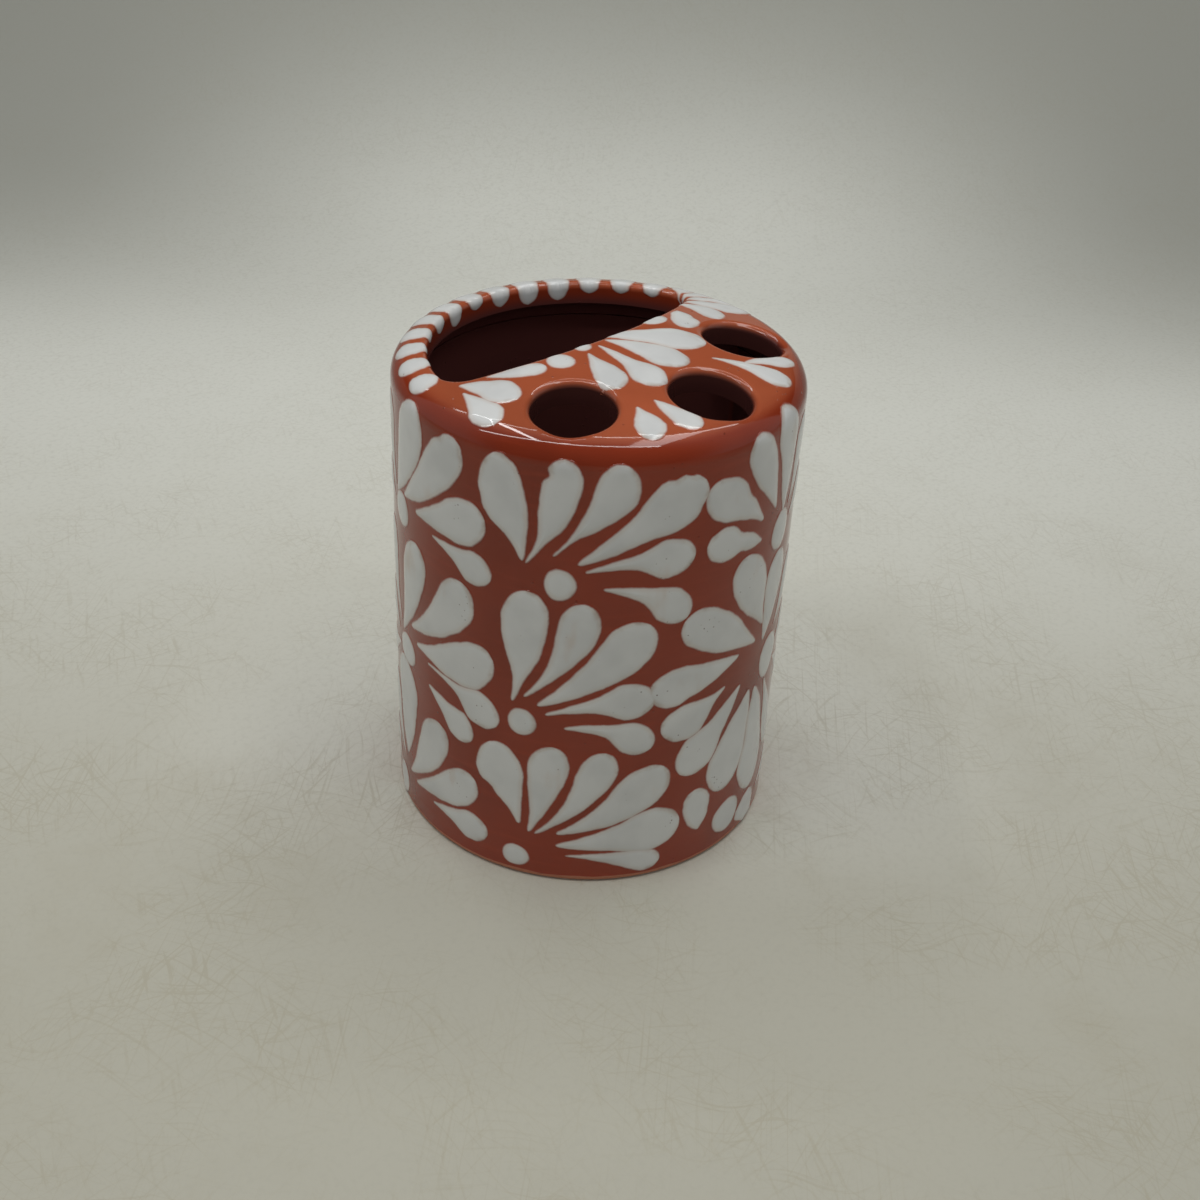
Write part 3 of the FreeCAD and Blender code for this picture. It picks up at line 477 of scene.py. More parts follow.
def inside_painted_shade(recipe, place, height, outside):
    """The colour outside, going over to a dark colour painted as shade in the cup below its lip and, darker
    still, in the brush holes.
    """
    sizes, colours = holder_sizes(), holder_colours()
    skin = Skin(sizes)
    reach = recipe.length(recipe.vector("MULTIPLY", place, (1.0, 1.0, 0.0)))
    rise = recipe.node("ShaderNodeMath", {"operation": "SQRT"}, {0: skin.dome**2 - reach * reach})
    below = rise + skin.dome_centre - height
    core = recipe.between(reach, skin.seam + 0.9 * MILLIMETRE, skin.seam + 0.3 * MILLIMETRE)
    depth = recipe.node("ShaderNodeSeparateXYZ", {}, {"Vector": place}, "Y")
    land = -skin.edge_setback - sizes.deck_land / 2
    at_holes = recipe.between(depth, land + MILLIMETRE, land - MILLIMETRE)
    # painted shade, deepening with depth below the lip in the cup and below the holes' rounded edges
    cup_shade_mask = recipe.between(below, 1.6 * MILLIMETRE, 5.0 * MILLIMETRE) * core * (1 - at_holes)
    hole_shade_mask = recipe.between(below, 0.1 * MILLIMETRE, 1.5 * MILLIMETRE) * core * at_holes
    cup_painted_shade = recipe.blend(cup_shade_mask * 0.92, outside, opaque(colours.painted_inside_shade))
    # the brush holes get a still darker painted shade
    return recipe.blend(hole_shade_mask * 0.96, cup_painted_shade, shaded(colours.painted_inside_shade, 0.60))


def glaze_material():
    """Terracotta glaze, glossy, with painted shade in the cup and the holes, bare at the foot."""
    colours = holder_colours()
    material = bpy.data.materials.new("terracotta_glaze")
    recipe = Recipe(material)
    place = recipe.object_place()
    height = recipe.node("ShaderNodeSeparateXYZ", {}, {"Vector": place}, "Z")
    brushed = ground_colour(recipe, place, height)
    speck_cells = recipe.cells(place, 620.0)
    speck_patch = recipe.between(recipe.noise(place, 160.0), 0.54, 0.64)
    speck = recipe.between(speck_cells, 0.16, 0.07) * speck_patch
    specked = recipe.blend(speck * 0.45, brushed, shaded(colours.wall_ground, 0.5))
    # painted shade inside the cup and the brush holes
    inside_shaded = inside_painted_shade(recipe, place, height, specked)

    foot_wave = recipe.noise(place, 130.0) * (0.8 * MILLIMETRE)
    foot = recipe.between(height + foot_wave, 1.9 * MILLIMETRE, 1.5 * MILLIMETRE)
    clay_grain = recipe.noise(place, 900.0, 4.0)
    clay = recipe.blend(clay_grain, shaded(colours.bare_clay, 0.78), shaded(colours.bare_clay, 1.12))
    base = recipe.blend(foot, inside_shaded, clay)

    sheen = recipe.noise(place, 75.0, 2.0)
    roughness = recipe.between(sheen, 0.30, 0.75, 0.045, 0.10)
    roughness = roughness * (1 - foot) + foot * 0.75
    wave = recipe.noise(place, 70.0, 1.0)
    ripple = recipe.noise(recipe.stretched(place, (90.0, 90.0, 260.0)), 1.0, 1.0)
    relief = wave * 0.8 + ripple * 0.35 + speck * 0.5 + clay_grain * foot * 0.25
    recipe.finish(base, roughness, recipe.bump(relief, 0.16 * MILLIMETRE, 1.0))
    return material


def slip_material():
    """White slip under the glaze: even in the middle, thin enough at its rim for the ground to show."""
    colours = holder_colours()
    material = bpy.data.materials.new("white_slip")
    recipe = Recipe(material)
    place = recipe.object_place()
    height = recipe.node("ShaderNodeSeparateXYZ", {}, {"Vector": place}, "Z")
    inset = recipe.node("ShaderNodeAttribute", {"attribute_name": "inset"}, {}, "Fac")
    along = recipe.node("ShaderNodeAttribute", {"attribute_name": "along"}, {}, "Fac")

    cloud = recipe.noise(place, 95.0, 3.0)
    thinner = recipe.between(cloud, 0.35, 0.75)
    body = recipe.blend(thinner, opaque(colours.slip_white), opaque(colours.slip_shade))
    smear = recipe.noise(recipe.stretched(place, (130.0, 130.0, 60.0)), 1.0, 3.0)
    smeared = recipe.blend(recipe.between(smear, 0.62, 0.78) * 0.30, body, opaque(colours.slip_stain))
    tinge = recipe.between(inset, 1.5 * MILLIMETRE, 0.4 * MILLIMETRE)
    tinged = recipe.blend(tinge * 0.22, smeared, opaque(colours.slip_stain))
    mottle = recipe.between(recipe.noise(place, 380.0, 3.0), 0.42, 0.66) * recipe.between(along, 0.72, 0.97)
    mottle = mottle * recipe.between(inset, 1.9 * MILLIMETRE, 0.3 * MILLIMETRE)
    headed = recipe.blend(mottle * 0.40, tinged, shaded(colours.slip_stain, 0.55))

    pit_cells = recipe.cells(place, 900.0)
    pit_patch = recipe.between(recipe.noise(place, 210.0), 0.58, 0.66) * recipe.between(along, 0.50, 0.85)
    pit = recipe.between(pit_cells, 0.20, 0.10) * pit_patch
    pitted = recipe.blend(pit * 0.75, headed, opaque(colours.pinhole))

    fray = (recipe.noise(place, 520.0, 3.0) - 0.5) * (0.34 * MILLIMETRE)
    cover = recipe.between(inset + fray, 0.04 * MILLIMETRE, 0.60 * MILLIMETRE)
    base = recipe.blend(cover, ground_colour(recipe, place, height), pitted)

    sheen = recipe.noise(place, 120.0, 2.0)
    roughness = recipe.between(sheen, 0.30, 0.75, 0.05, 0.11)
    relief = recipe.noise(place, 170.0, 2.0) * 0.9 - pit * 0.9
    recipe.finish(base, roughness, recipe.bump(relief, 0.10 * MILLIMETRE, 1.0))
    return material


def board_scratches(recipe, place):
    """Fine scratches in a few directions, bent a little and broken into short runs."""
    scratches = 0.0
    sockets = {0: recipe.noise(place, 9.0, 3.0), "Scale": 0.05}
    drift = recipe.node("ShaderNodeVectorMath", {"operation": "SCALE"}, sockets)
    bent = recipe.vector("ADD", place, drift)
    # turn in degrees, width and length of a scratch
    for turn, fine, run in (
        (8.0, 0.0009, 0.020),
        (39.0, 0.0006, 0.034),
        (63.0, 0.0011, 0.015),
        (91.0, 0.0007, 0.040),
        (118.0, 0.0008, 0.024),
        (151.0, 0.0010, 0.018),
    ):
        sockets = {"Vector": bent, "Rotation": (0.0, 0.0, math.radians(turn)), "Scale": (run, fine, 1.0)}
        drawn_out = recipe.node("ShaderNodeMapping", {"vector_type": "TEXTURE"}, sockets)
        lines = recipe.noise(drawn_out, 1.0, 4.0, 0.6)
        scratches = recipe.between(lines, 0.54, 0.70) + scratches
    patch = recipe.between(recipe.noise(place, 24.0, 5.0), 0.34, 0.66)
    return recipe.node("ShaderNodeMath", {"operation": "MINIMUM"}, {0: scratches * patch, 1: 1.0})


def board_material():
    """Pale board of a light box: darker in front as painted shade, smudged and scratched there, paler behind,
    in painted shade where it rises, and painted lighter beside the holder.
    """
    colours, stage = holder_colours(), holder_stage()
    material = bpy.data.materials.new("pale_board")
    recipe = Recipe(material)
    place = recipe.object_place()
    # metres from the holder's axis, along the stage's heading and to both sides of it
    ahead = (math.cos(stage.heading), math.sin(stage.heading), 0.0)
    aside = (-ahead[1], ahead[0], 0.0)
    run = recipe.vector("DOT_PRODUCT", place, ahead, "Value")
    off = recipe.vector("DOT_PRODUCT", place, aside, "Value")
    off = recipe.node("ShaderNodeMath", {"operation": "ABSOLUTE"}, {0: off})
    # painted shade: the board goes darker towards the front; the same mask also sets how strongly it is
    # smudged and scratched there
    front_shade_and_wear = recipe.between(run, 0.22, -0.10)
    ground = recipe.blend(front_shade_and_wear, opaque(colours.far_board), opaque(colours.near_board))
    # painted shade where the board curves up, deeper towards its back corners
    shade = recipe.between(run, 0.325, 0.48) * 0.95
    corner = recipe.between(off, 0.04, 0.24) * recipe.between(run, 0.17, 0.36) * 0.92
    shaded_board = recipe.blend(shade + corner - shade * corner, ground, opaque(colours.high_board))
    reach = recipe.length(place)
    # painted light: the board beside and behind the holder is lightened towards the far board, where the
    # holder's shadow falls
    holder_side_light = recipe.between(reach, 0.105, 0.055) * recipe.between(run, -0.05, 0.0) * 0.5
    shaded_board = recipe.blend(holder_side_light, shaded_board, opaque(colours.far_board))

    cloud = recipe.noise(place, 16.0, 6.0, 0.66)
    smudge = recipe.between(cloud, 0.50, 0.72) * front_shade_and_wear
    stain = opaque([channel * share for channel, share in zip(colours.near_board, (0.80, 0.74, 0.62))])
    smudged = recipe.blend(smudge * 0.26, shaded_board, stain)
    scratch = board_scratches(recipe, place)
    scratched = recipe.blend(scratch * (0.10 + front_shade_and_wear * 0.32), smudged, stain)
    grain = recipe.noise(place, 700.0, 3.0)
    base = recipe.blend(recipe.between(grain, 0.45, 0.75) * 0.16, scratched, shaded(colours.near_board, 0.82))
    roughness = 0.62
    recipe.finish(base, roughness, recipe.bump(grain, 0.05 * MILLIMETRE, 0.5))
    return material


# The holder's outside, which the slip lies on


class Skin:
    """Drum, rounded shoulder and domed deck with the rounded edges of its openings."""

    def __init__(self, sizes):
        self.sizes = sizes
        self.radius = sizes.drum_radius
        self.wall = sizes.wall_height
        self.shoulder = sizes.shoulder_radius
        self.turn_in = self.radius - self.shoulder
        rise = self.shoulder + sizes.crown_lift
        self.dome = (self.turn_in**2 + rise**2 - self.shoulder**2) / (2 * sizes.crown_lift)
        self.dome_centre = self.wall + rise - self.dome
        self.seam = self.dome * self.turn_in / (self.dome - self.shoulder)
        self.holes = [np.array(mount["pos_m"][:2]) for mount in BRUSH_HOLES]
        self.hole_radius = BRUSH_HOLES[0]["dims"]["r_mm"] * MILLIMETRE
        outer_hole_depth = -max(hole[1] for hole in self.holes)
        self.edge_setback = outer_hole_depth - self.hole_radius - sizes.deck_land

    def drum(self, turns, heights, lifts):
        """Points on the wall, and past its top on the shoulder, lifted off the glaze."""
        tilt = np.arcsin(np.clip((heights - self.wall) / self.shoulder, 0, 1))
        reach = self.turn_in + (self.shoulder + lifts) * np.cos(tilt)
        level = np.minimum(heights, self.wall) + (self.shoulder + lifts) * np.sin(tilt)
        return np.stack([reach * np.cos(turns), reach * np.sin(turns), level], axis=1)

    def top(self, places):
        """Points on the deck, and past the dome's seam round the shoulder, with their outward normals."""
        reach = np.linalg.norm(places, axis=1)
        seam_tilt = math.asin(self.seam / self.dome)
        round_tilt = np.minimum(seam_tilt + (reach - self.seam) / self.shoulder, math.pi / 2)
        on_dome = reach < self.seam
        tilt = np.where(on_dome, np.arcsin(np.minimum(reach, self.seam) / self.dome), round_tilt)
        out = np.where(on_dome, reach, self.turn_in + self.shoulder * np.sin(tilt))
        dome_height = self.dome_centre + self.dome * np.cos(tilt)
        height = np.where(on_dome, dome_height, self.wall + self.shoulder * np.cos(tilt))
        heading = places / np.maximum(reach, MILLIMETRE)[:, None]
        points = np.column_stack([heading * out[:, None], height])
        return points, np.column_stack([heading * np.sin(tilt)[:, None], np.cos(tilt)])

    def hole_gap(self, places, hole):
        """Distance of each place from a brush hole's edge, and the way to it."""
        way = hole - places
        distance = np.linalg.norm(way, axis=1)
        return distance - self.hole_radius, way / distance[:, None]

    def mouth_gap(self, places):
        """Distance of each place from the mouth's edge, less than zero over the mouth, and the way to it."""
        corner = self.sizes.mouth_corner_radius
        edge_middle = np.array([0, self.sizes.deck_edge_radius - self.edge_setback])
        round_reach = self.radius - self.sizes.rim_width - corner
        edge_reach = self.sizes.deck_edge_radius - corner
        corner_y = (round_reach**2 - edge_reach**2 + edge_middle[1] ** 2) / (2 * edge_middle[1])
        corner_x = math.sqrt(round_reach**2 - corner_y**2)
        from_edge = places - edge_middle
        near_round = places / np.linalg.norm(places, axis=1)[:, None] * round_reach
        near_edge = edge_middle + from_edge / np.linalg.norm(from_edge, axis=1)[:, None] * edge_reach
        near_corner = np.column_stack([np.sign(places[:, 0]) * corner_x, np.full(len(places), corner_y)])
        off_round = np.linalg.norm(near_round - edge_middle, axis=1) > edge_reach
        off_edge = np.linalg.norm(near_edge, axis=1) > round_reach
        far = self.radius * 4
        runs = np.column_stack(
            [
                np.linalg.norm(near_round - places, axis=1) + far * off_round,
                np.linalg.norm(near_edge - places, axis=1) + far * off_edge,
                np.linalg.norm(near_corner - places, axis=1) + far * ~(off_round & off_edge),
            ]
        )
        nearest = np.stack([near_round, near_edge, near_corner])
        nearest = nearest[np.argmin(runs, axis=1), np.arange(len(places))]
        way = nearest - places
        distance = np.linalg.norm(way, axis=1)
        return distance - corner, way / distance[:, None]

    def deck(self, places, lifts):
        """Points on the deck, folded over the edges of its openings and lifted off the glaze."""
        openings = [(self.hole_gap, (hole,), self.sizes.hole_round) for hole in self.holes]
        openings.append((self.mouth_gap, (), self.sizes.lip_round))
        drop = np.zeros(len(places))
        lean = np.zeros((len(places), 3))
        upright = np.ones(len(places))
        for gap_of, given, edge in openings:
            gap, way = gap_of(places, *given)
            fall = np.arcsin(np.clip((edge - gap) / edge, 0, 1))
            places = places + way * np.minimum(gap, 0)[:, None]
            drop += edge * (1 - np.cos(fall)) + np.maximum(-gap, 0)
            lean[:, :2] += way * np.sin(fall)[:, None]
            upright *= np.cos(fall)
        points, normal = self.top(places)
        points[:, 2] -= drop
        return points + (normal * upright[:, None] + lean) * lifts[:, None]


# Slip modelling


def deselect():
    if bpy.context.mode != "OBJECT":
        bpy.ops.object.mode_set(mode="OBJECT")
    bpy.ops.object.select_all(action="DESELECT")


def select_only(*pieces):
    deselect()
    for piece in pieces:
        piece.select_set(True)
    bpy.context.view_layer.objects.active = pieces[0]


class Blank:
    """A round pad of slip, modelled once: each petal, dot and lobe is a copy drawn out from it."""

    def __init__(self):
        deselect()
        bpy.ops.mesh.primitive_uv_sphere_add(segments=BLANK_SEGMENTS, ring_count=BLANK_RINGS, radius=1.0)
        self.pad = bpy.context.object
        self.pad.name = "slip_blank"
        bpy.ops.object.mode_set(mode="EDIT")
        bpy.ops.mesh.select_all(action="SELECT")
        bpy.ops.mesh.bisect(plane_co=(0, 0, 0), plane_no=(0, 0, 1), clear_inner=True)
        bpy.ops.mesh.select_all(action="SELECT")
        bpy.ops.mesh.region_to_loop()
        bpy.ops.mesh.extrude_edges_move(TRANSFORM_OT_translate={"value": (0, 0, -SKIRT_DROP)})
        bpy.ops.object.mode_set(mode="OBJECT")
        bpy.ops.object.shade_smooth()
        points = self.points()
        self.skirt = points[:, 2] < -SKIRT_DROP / 2
        self.ring = np.minimum(np.hypot(points[:, 0], points[:, 1]), 1.0)
        self.along = np.clip(points[:, 0], -1, 1)
        self.across = np.clip(points[:, 1], -1, 1)
        self.store("along", (self.along + 1) / 2)
        self.store("inset", np.zeros_like(self.ring))

    def points(self):
        flat = np.empty(len(self.pad.data.vertices) * 3)
        self.pad.data.vertices.foreach_get("co", flat)
        return flat.reshape(-1, 3)

    def store(self, name, values):
        attribute = self.pad.data.attributes.new(name, "FLOAT", "POINT")
        attribute.data.foreach_set("value", values)

    def aside(self):
        """Each point's place across the pad, from one side to the other."""
        chord = np.sqrt(np.maximum(1 - self.along**2, 0))
        return np.divide(self.across, chord, out=np.zeros_like(chord), where=chord > LEAST_CHORD)

    def insets(self, widths, slopes):
        """Distance of each point from the outline, for these half widths and slopes of the outline."""
        inner = (1 - np.abs(self.aside())) * widths / np.hypot(1, slopes)
        return np.where(self.ring > OUTLINE_RING, 0.0, inner)

    def lifts(self, insets):
        """Height of each point over the glaze."""
        sizes = holder_sizes()
        inner = np.clip(insets / sizes.slip_edge, 0, 1)
        return np.where(self.skirt, -sizes.slip_sink, sizes.slip_relief * (1 - (1 - inner) ** 2))

    def copy(self, points, insets):
        piece = self.pad.copy()
        piece.data = self.pad.data.copy()
        piece.data.vertices.foreach_set("co", points.ravel())
        piece.data.attributes["inset"].data.foreach_set("value", insets)
        piece.data.update()
        bpy.context.collection.objects.link(piece)
        return piece

    def discard(self):
        select_only(self.pad)
        bpy.ops.object.delete()


def smooth_through(knots, values, last_slope, places):
    """A smooth line through values at knots, with cubic pieces between them."""
    knots, values = np.asarray(knots), np.asarray(values)
    slopes = np.gradient(values, knots)
    slopes[-1] = last_slope
    first = np.clip(np.searchsorted(knots, places, side="right") - 1, 0, len(knots) - 2)
    span = knots[first + 1] - knots[first]
    t = (places - knots[first]) / span
    start = (1 + 2 * t) * (1 - t) ** 2 * values[first] + t * (1 - t) ** 2 * span * slopes[first]
    stop = t**2 * (3 - 2 * t) * values[first + 1] - t**2 * (1 - t) * span * slopes[first + 1]
    return start + stop


def teardrop_widths(places, belly, waist, tail):
    """Half widths of a petal along its spine, as shares of its widest."""
    tail_widths = (TIP_WIDTH_share, tail, waist, 1)
    widths = smooth_through(TAIL_PLACE_shares, tail_widths, 0, np.minimum(places / belly, 1))
    widths = widths * np.sqrt(1 - (1 - np.minimum(places / TIP_RUN_share, 1)) ** 2)
    head = np.sqrt(np.clip(1 - ((places - belly) / (1 - belly)) ** 2, 0, 1))
    return np.where(places < belly, widths, head)


def wobble(places, sides, phases):
    """An uneven hand: how much wider or narrower a petal is along each of its sides."""
    side = (sides > 0).astype(int)
    slow = np.sin(2 * math.pi * SLOW_WAVES * places + phases[0][side])
    quick = np.sin(2 * math.pi * QUICK_WAVES * places + phases[1][side])
    return 1 + holder_sizes().slip_wobble * (slow + QUICK_share * quick)


def slope_of(line, places):
    """Slope of a line at places, from the line a little to both sides."""
    step = 0.002
    low, high = np.maximum(places - step, 0), np.minimum(places + step, 1)
    return (line(high) - line(low)) / (high - low)


def petal_on_sheet(blank, petal, unit, draw, nicks=()):
    """A petal's points on a flat sheet of this unit, in metres, and their distances from its outline."""
    tip_u, tip_v, end_u, end_v, half_width, waist, bow, tail, skew = petal
    length = math.hypot(end_u - tip_u, end_v - tip_v)
    along = ((end_u - tip_u) / length, (end_v - tip_v) / length)
    bleed = holder_sizes().slip_bleed / unit
    places = (blank.along + 1) / 2
    sides = blank.aside()
    belly = 1 - HEAD_LENGTH_share * half_width / length
    phases = draw.uniform(0, 2 * math.pi, size=(2, 2))

    def width(at):
        uneven = (1 + np.sign(sides) * skew * np.sin(math.pi * at)) * wobble(at, sides, phases)
        for side, place, depth, run in nicks:
            uneven = uneven - depth * (np.sign(sides) == side) * np.exp(-(((at - place) / run) ** 2))
        rounded = np.sqrt(np.clip(1 - np.abs(2 * at - 1) ** BLEED_POWER, 0, 1))
        rounded = rounded * np.clip(TIP_BLEED_share + BLEED_GROWTH * at, 0, 1)
        return half_width * teardrop_widths(at, belly, waist, tail) * uneven + bleed * rounded

    widths = width(places)
    lean = 4 * bow * (1 - 2 * places)
    scale = sides * widths / np.hypot(1, lean)
    ahead = places * (length + 2 * bleed) - bleed - lean * scale
    left = 4 * bow * length * places * (1 - places) + scale
    u = tip_u + along[0] * ahead - along[1] * left
    v = tip_v + along[1] * ahead + along[0] * left
    return u, v, blank.insets(widths * unit, slope_of(width, places) / length)


def dot_on_sheet(blank, dot, unit, draw):
    """A dot's points on a flat sheet and their distances from its outline."""
    u, v, half_width, tall = dot
    turns = np.arctan2(blank.across, blank.along)
    bleed = holder_sizes().slip_bleed / unit
    reach = (half_width + bleed) * blank.ring
    reach = reach * (1 + holder_sizes().slip_wobble * np.sin(3 * turns + draw.uniform(0, 2 * math.pi)))
    insets = (1 - blank.ring) * (half_width + bleed) * unit
    return u + reach * np.cos(turns), v + reach * tall * np.sin(turns), insets


def finish_slip(pads, name, node, material):
    """Joins pads of slip into the piece that stands for a node."""
    select_only(*pads)
    if len(pads) > 1:
        bpy.ops.object.join()
    piece = bpy.context.object
    piece.name = name
    piece.data.name = name
    piece.data.materials.clear()
    piece.data.materials.append(material)
    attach(piece, "root")
    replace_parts(piece, node)
    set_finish(piece, "slip")
    return piece


def named_material(name, make):
    return bpy.data.materials.get(name) or make()


def lay_out_slip():
    """The surface, the blank, the uneven hand and the slip that each group of pads starts from."""
    slip = named_material("white_slip", slip_material)
    return Skin(holder_sizes()), Blank(), np.random.default_rng(SEED), slip


# Operators


class HOLDER_OT_glaze(bpy.types.Operator):
    """Glaze the floor, the wall and the deck"""

    bl_idname = "holder.glaze"
    bl_label = "Glaze the clay"

    def execute(self, context):
        glaze = named_material("terracotta_glaze", glaze_material)
        for name in CLAY_NODES:
            for slot in frame["nodes"][name].material_slots:
                slot.material = glaze
        return {"FINISHED"}


class HOLDER_OT_drum_fans(bpy.types.Operator):
    """Trail the fans of slip round the drum, front and back"""

    bl_idname = "holder.drum_fans"
    bl_label = "Trail the drum's fans"

    def execute(self, context):
        skin, blank, draw, slip = lay_out_slip()
        for place, ((turn, *level), *petals) in FAN_shares.items():
            sheets = [dot_on_sheet(blank, (self.sheet_u(turn), *level), skin.wall, draw)]
            for number, (tip_turn, tip_height, end_turn, *form) in enumerate(petals):
                petal = (self.sheet_u(tip_turn), tip_height, self.sheet_u(end_turn), *form)
                nicks = FAN_NICKS.get((place, number), ())
                sheets.append(petal_on_sheet(blank, petal, skin.wall, draw, nicks))
            pads = []
            for u, v, insets in sheets:
                turns = u / GIRTH_share * math.radians(FULL_TURN)
                pads.append(blank.copy(skin.drum(turns, v * skin.wall, blank.lifts(insets)), insets))
            front = finish_slip(pads, f"front_{place}_slip", f"front_{place}_fan", slip)
            self.repeat_behind(front, place, slip)
        blank.discard()
        return {"FINISHED"}

    def sheet_u(self, turn):
        return turn / FULL_TURN * GIRTH_share

    def repeat_behind(self, front, place, slip):
        """The same fan half a turn further round."""
        select_only(front)
        bpy.ops.object.duplicate()
        back = bpy.context.object
        back.parent = None
        bpy.ops.transform.rotate(value=math.pi, orient_axis="Z", center_override=(0, 0, 0))
        bpy.ops.object.transform_apply()
        # the front's marks go, because finish_slip gives the copy its own
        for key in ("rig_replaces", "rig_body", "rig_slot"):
            del back[key]
        finish_slip([back], f"back_{place}_slip", f"back_{place}_fan", slip)


class HOLDER_OT_deck_sprigs(bpy.types.Operator):
    """Trail the sprigs of slip on the deck"""

    bl_idname = "holder.deck_sprigs"
    bl_label = "Trail the deck's sprigs"

    def execute(self, context):
        skin, blank, draw, slip = lay_out_slip()
        depth = skin.radius - skin.edge_setback
        for node, (dots, *petals) in DECK_shares.items():
            sheets = []
            for u, v, *form in dots:
                sheets.append(dot_on_sheet(blank, (u, v * DECK_DEPTH_share, *form), skin.radius, draw))
            for tip_u, tip_v, end_u, end_v, *form in petals:
                petal = (tip_u, tip_v * DECK_DEPTH_share, end_u, end_v * DECK_DEPTH_share, *form)
                sheets.append(petal_on_sheet(blank, petal, skin.radius, draw))
            pads = []
            for u, v, insets in sheets:
                plan = np.column_stack([u * skin.radius, v / DECK_DEPTH_share * depth - skin.edge_setback])
                pads.append(blank.copy(skin.deck(plan, blank.lifts(insets)), insets))
            finish_slip(pads, f"{node}_slip", node, slip)
        blank.discard()
        return {"FINISHED"}


class HOLDER_OT_rim_lobes(bpy.types.Operator):
    """Trail the lobes of slip across the rim and over its lip"""

    bl_idname = "holder.rim_lobes"
    bl_label = "Trail the rim's lobes"

    def execute(self, context):
        sizes = holder_sizes()
        skin, blank, draw, slip = lay_out_slip()
        outer = skin.radius - RIM_END_share * sizes.rim_width
        mouth = skin.radius - sizes.rim_width
        step = math.radians(RIM_TURN_STEP)
        places = (blank.along + 1) / 2
        sides = blank.aside()
        pads = []
        for index, hang in enumerate(RIM_HANG_shares):
            phases = draw.uniform(0, 2 * math.pi, size=(2, 2))
            run = outer - mouth + hang * sizes.rim_width + sizes.slip_bleed

            def width(at):
                ends = np.sqrt(np.clip(1 - np.abs(2 * at - 1) ** LOBE_POWER, 0, 1))
                taper = RIM_NARROW_share + (1 - RIM_NARROW_share) * at
                widest = RIM_FILL_share / 2 * step + sizes.slip_bleed / mouth
                return widest * ends * taper * wobble(at, sides, phases)

            reach = outer - run * (1 - places)
            turns = math.radians(RIM_FIRST_TURN) - step * index + sides * width(places)
            plan = np.column_stack([reach * np.cos(turns), reach * np.sin(turns)])
            insets = blank.insets(width(places) * mouth, slope_of(width, places) * mouth / run)
            pads.append(blank.copy(skin.deck(plan, blank.lifts(insets)), insets))
        finish_slip(pads, "rim_lobes_slip", "rim_petals", slip)
        blank.discard()
        return {"FINISHED"}


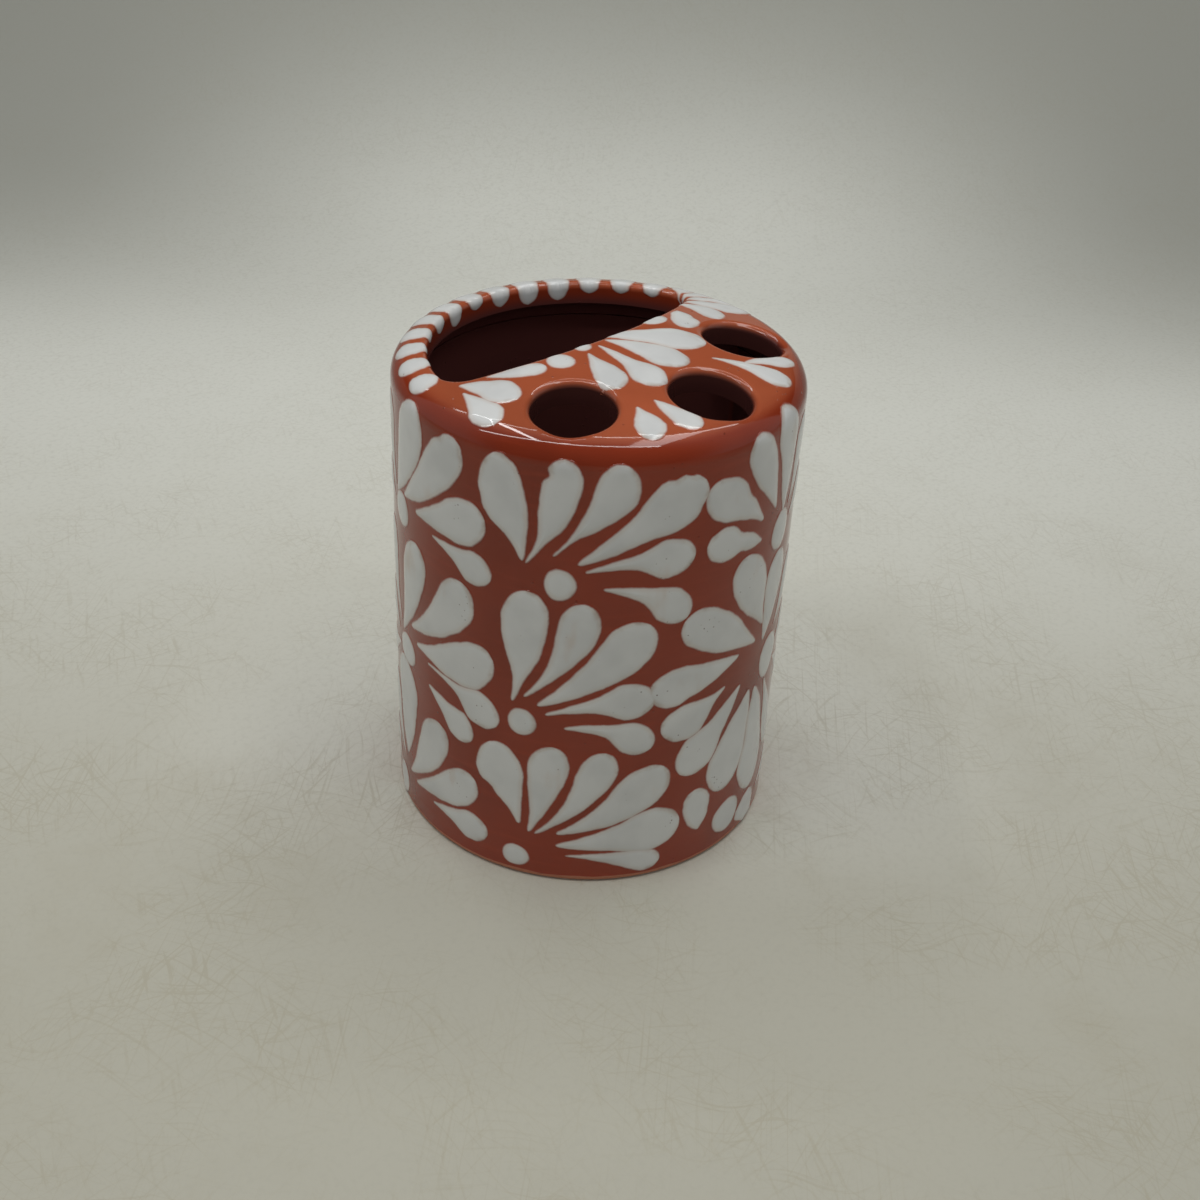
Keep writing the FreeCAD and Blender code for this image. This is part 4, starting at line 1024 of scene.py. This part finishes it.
class HOLDER_OT_stage(bpy.types.Operator):
    """Set up the board, the strip lamps and the camera"""

    bl_idname = "holder.stage"
    bl_label = "Set the stage"

    def execute(self, context):
        stage = holder_stage()
        self.lay_board(stage)
        self.hang_lamps(stage)
        self.light_room(stage)
        self.place_camera(stage)
        context.scene.view_settings.view_transform = "Standard"
        return {"FINISHED"}

    def lay_board(self, stage):
        """A flat board that curves up behind the holder."""
        half_width, front, behind, bend, rise, bend_steps = 1.2, 0.9, 0.26, 0.30, 0.9, 24
        deselect()
        bpy.ops.mesh.primitive_plane_add(size=1.0)
        board = bpy.context.object
        board.name = "board"
        bpy.ops.object.mode_set(mode="EDIT")
        bpy.ops.transform.resize(value=(2 * half_width, front + behind, 1))
        bpy.ops.transform.translate(value=(0, (behind - front) / 2, 0))
        self.select_back_edge(board, behind)
        bpy.ops.mesh.spin(steps=bend_steps, angle=-math.pi / 2, center=(0, behind, bend), axis=(1, 0, 0))
        self.select_back_edge(board, behind + bend)
        bpy.ops.mesh.extrude_edges_move(TRANSFORM_OT_translate={"value": (0, 0, rise)})
        bpy.ops.mesh.select_all(action="SELECT")
        bpy.ops.mesh.remove_doubles(threshold=MILLIMETRE)
        bpy.ops.mesh.normals_make_consistent(inside=True)
        bpy.ops.object.mode_set(mode="OBJECT")
        bpy.ops.object.shade_smooth()
        turn = stage.heading - math.pi / 2
        board.data.transform(Matrix.Rotation(turn, 4, "Z"))
        board.data.materials.append(named_material("pale_board", board_material))

    def select_back_edge(self, board, behind):
        bpy.ops.mesh.select_all(action="DESELECT")
        bpy.ops.mesh.select_mode(type="EDGE")
        bpy.ops.object.mode_set(mode="OBJECT")
        for edge in board.data.edges:
            ends = [board.data.vertices[index].co.y for index in edge.vertices]
            edge.select = all(abs(y - behind) < MILLIMETRE for y in ends)
        bpy.ops.object.mode_set(mode="EDIT")

    def hang_lamps(self, stage):
        """Three thin strips and a broad one in a frame under the roof of the light box."""
        turn = Matrix.Rotation(stage.heading - math.pi / 2, 4, "Z")
        # place across and along the heading, length, width, quarter turns, share of the power
        for name, x, y, length, width, quarter, share in (
            ("front_strip", -0.13, -0.146, 0.64, 0.022, 0, 1.20),
            ("back_strip", 0.0, 0.20, 0.62, 0.022, 0, 0.75),
            ("left_strip", -0.16, 0.027, 0.36, 0.022, 1, 0.80),
            ("right_strip", 0.13, 0.027, 0.36, 0.10, 1, 1.02),
        ):
            lamp = bpy.data.lights.new(name, "AREA")
            lamp.shape = "RECTANGLE"
            lamp.size = length
            lamp.size_y = width
            lamp.energy = share * stage.lamp_power
            strip = bpy.data.objects.new(name, lamp)
            spin = Matrix.Rotation(quarter * math.pi / 2, 4, "Z")
            strip.matrix_world = turn @ Matrix.Translation((x, y, stage.lamp_height)) @ spin
            bpy.context.collection.objects.link(strip)

    def light_room(self, stage):
        """White walls all round, whose open front is dark where the glaze mirrors it."""
        world = bpy.data.worlds.new("light_box")
        bpy.context.scene.world = world
        recipe = Recipe(world)
        way = recipe.node("ShaderNodeTexCoord", output="Generated")
        front_rise, front_share, cool_white = 0.35, 0.85, (0.96, 0.98, 1.0, 1.0)
        front = (-math.cos(stage.heading), -math.sin(stage.heading), front_rise)
        facing = recipe.vector("DOT_PRODUCT", way, front, "Value")
        mirrored = recipe.node("ShaderNodeLightPath", output="Is Glossy Ray")
        strength = stage.world_light * (1 - mirrored * recipe.between(facing, 0.25, 0.75) * front_share)
        shader = recipe.node("ShaderNodeBackground", {}, {"Color": cool_white, "Strength": strength})
        recipe.node("ShaderNodeOutputWorld", {}, {"Surface": shader})

    def place_camera(self, stage):
        lens = bpy.data.cameras.new("camera")
        lens.lens = stage.lens
        lens.sensor_width = stage.sensor
        lens.sensor_fit = "HORIZONTAL"
        lens.clip_start = 0.01
        camera = bpy.data.objects.new("camera", lens)
        turn = Matrix.Rotation(stage.heading - math.pi / 2, 4, "Z")
        tilt = Matrix.Rotation(math.pi / 2 - stage.pitch, 4, "X")
        roll = Matrix.Rotation(stage.roll, 4, "Z")
        camera.matrix_world = Matrix.Translation(stage.camera_place) @ turn @ tilt @ roll
        bpy.context.collection.objects.link(camera)
        bpy.context.scene.camera = camera


class HOLDER_PT_panel(bpy.types.Panel):
    """The holder's sizes, colours and making"""

    bl_idname = "HOLDER_PT_panel"
    bl_label = "Toothbrush holder"
    bl_space_type = "VIEW_3D"
    bl_region_type = "UI"
    bl_category = "Holder"

    def draw(self, context):
        for group in (context.scene.holder_sizes, context.scene.holder_colours, context.scene.holder_stage):
            for name in group.__annotations__:
                self.layout.prop(group, name)
        for operator in OPERATORS:
            self.layout.operator(operator.bl_idname)


OPERATORS = (
    HOLDER_OT_glaze,
    HOLDER_OT_drum_fans,
    HOLDER_OT_deck_sprigs,
    HOLDER_OT_rim_lobes,
    HOLDER_OT_stage,
)
CLASSES = (HolderSizes, HolderColours, HolderStage, *OPERATORS, HOLDER_PT_panel)


def register():
    for item in CLASSES:
        bpy.utils.register_class(item)
    bpy.types.Scene.holder_sizes = PointerProperty(type=HolderSizes)
    bpy.types.Scene.holder_colours = PointerProperty(type=HolderColours)
    bpy.types.Scene.holder_stage = PointerProperty(type=HolderStage)


def unregister():
    del bpy.types.Scene.holder_stage
    del bpy.types.Scene.holder_colours
    del bpy.types.Scene.holder_sizes
    for item in reversed(CLASSES):
        bpy.utils.unregister_class(item)


def main():
    register()
    bpy.ops.holder.stage()
    bpy.ops.holder.glaze()
    bpy.ops.holder.drum_fans()
    bpy.ops.holder.deck_sprigs()
    bpy.ops.holder.rim_lobes()


if __name__ == "__main__":
    main()
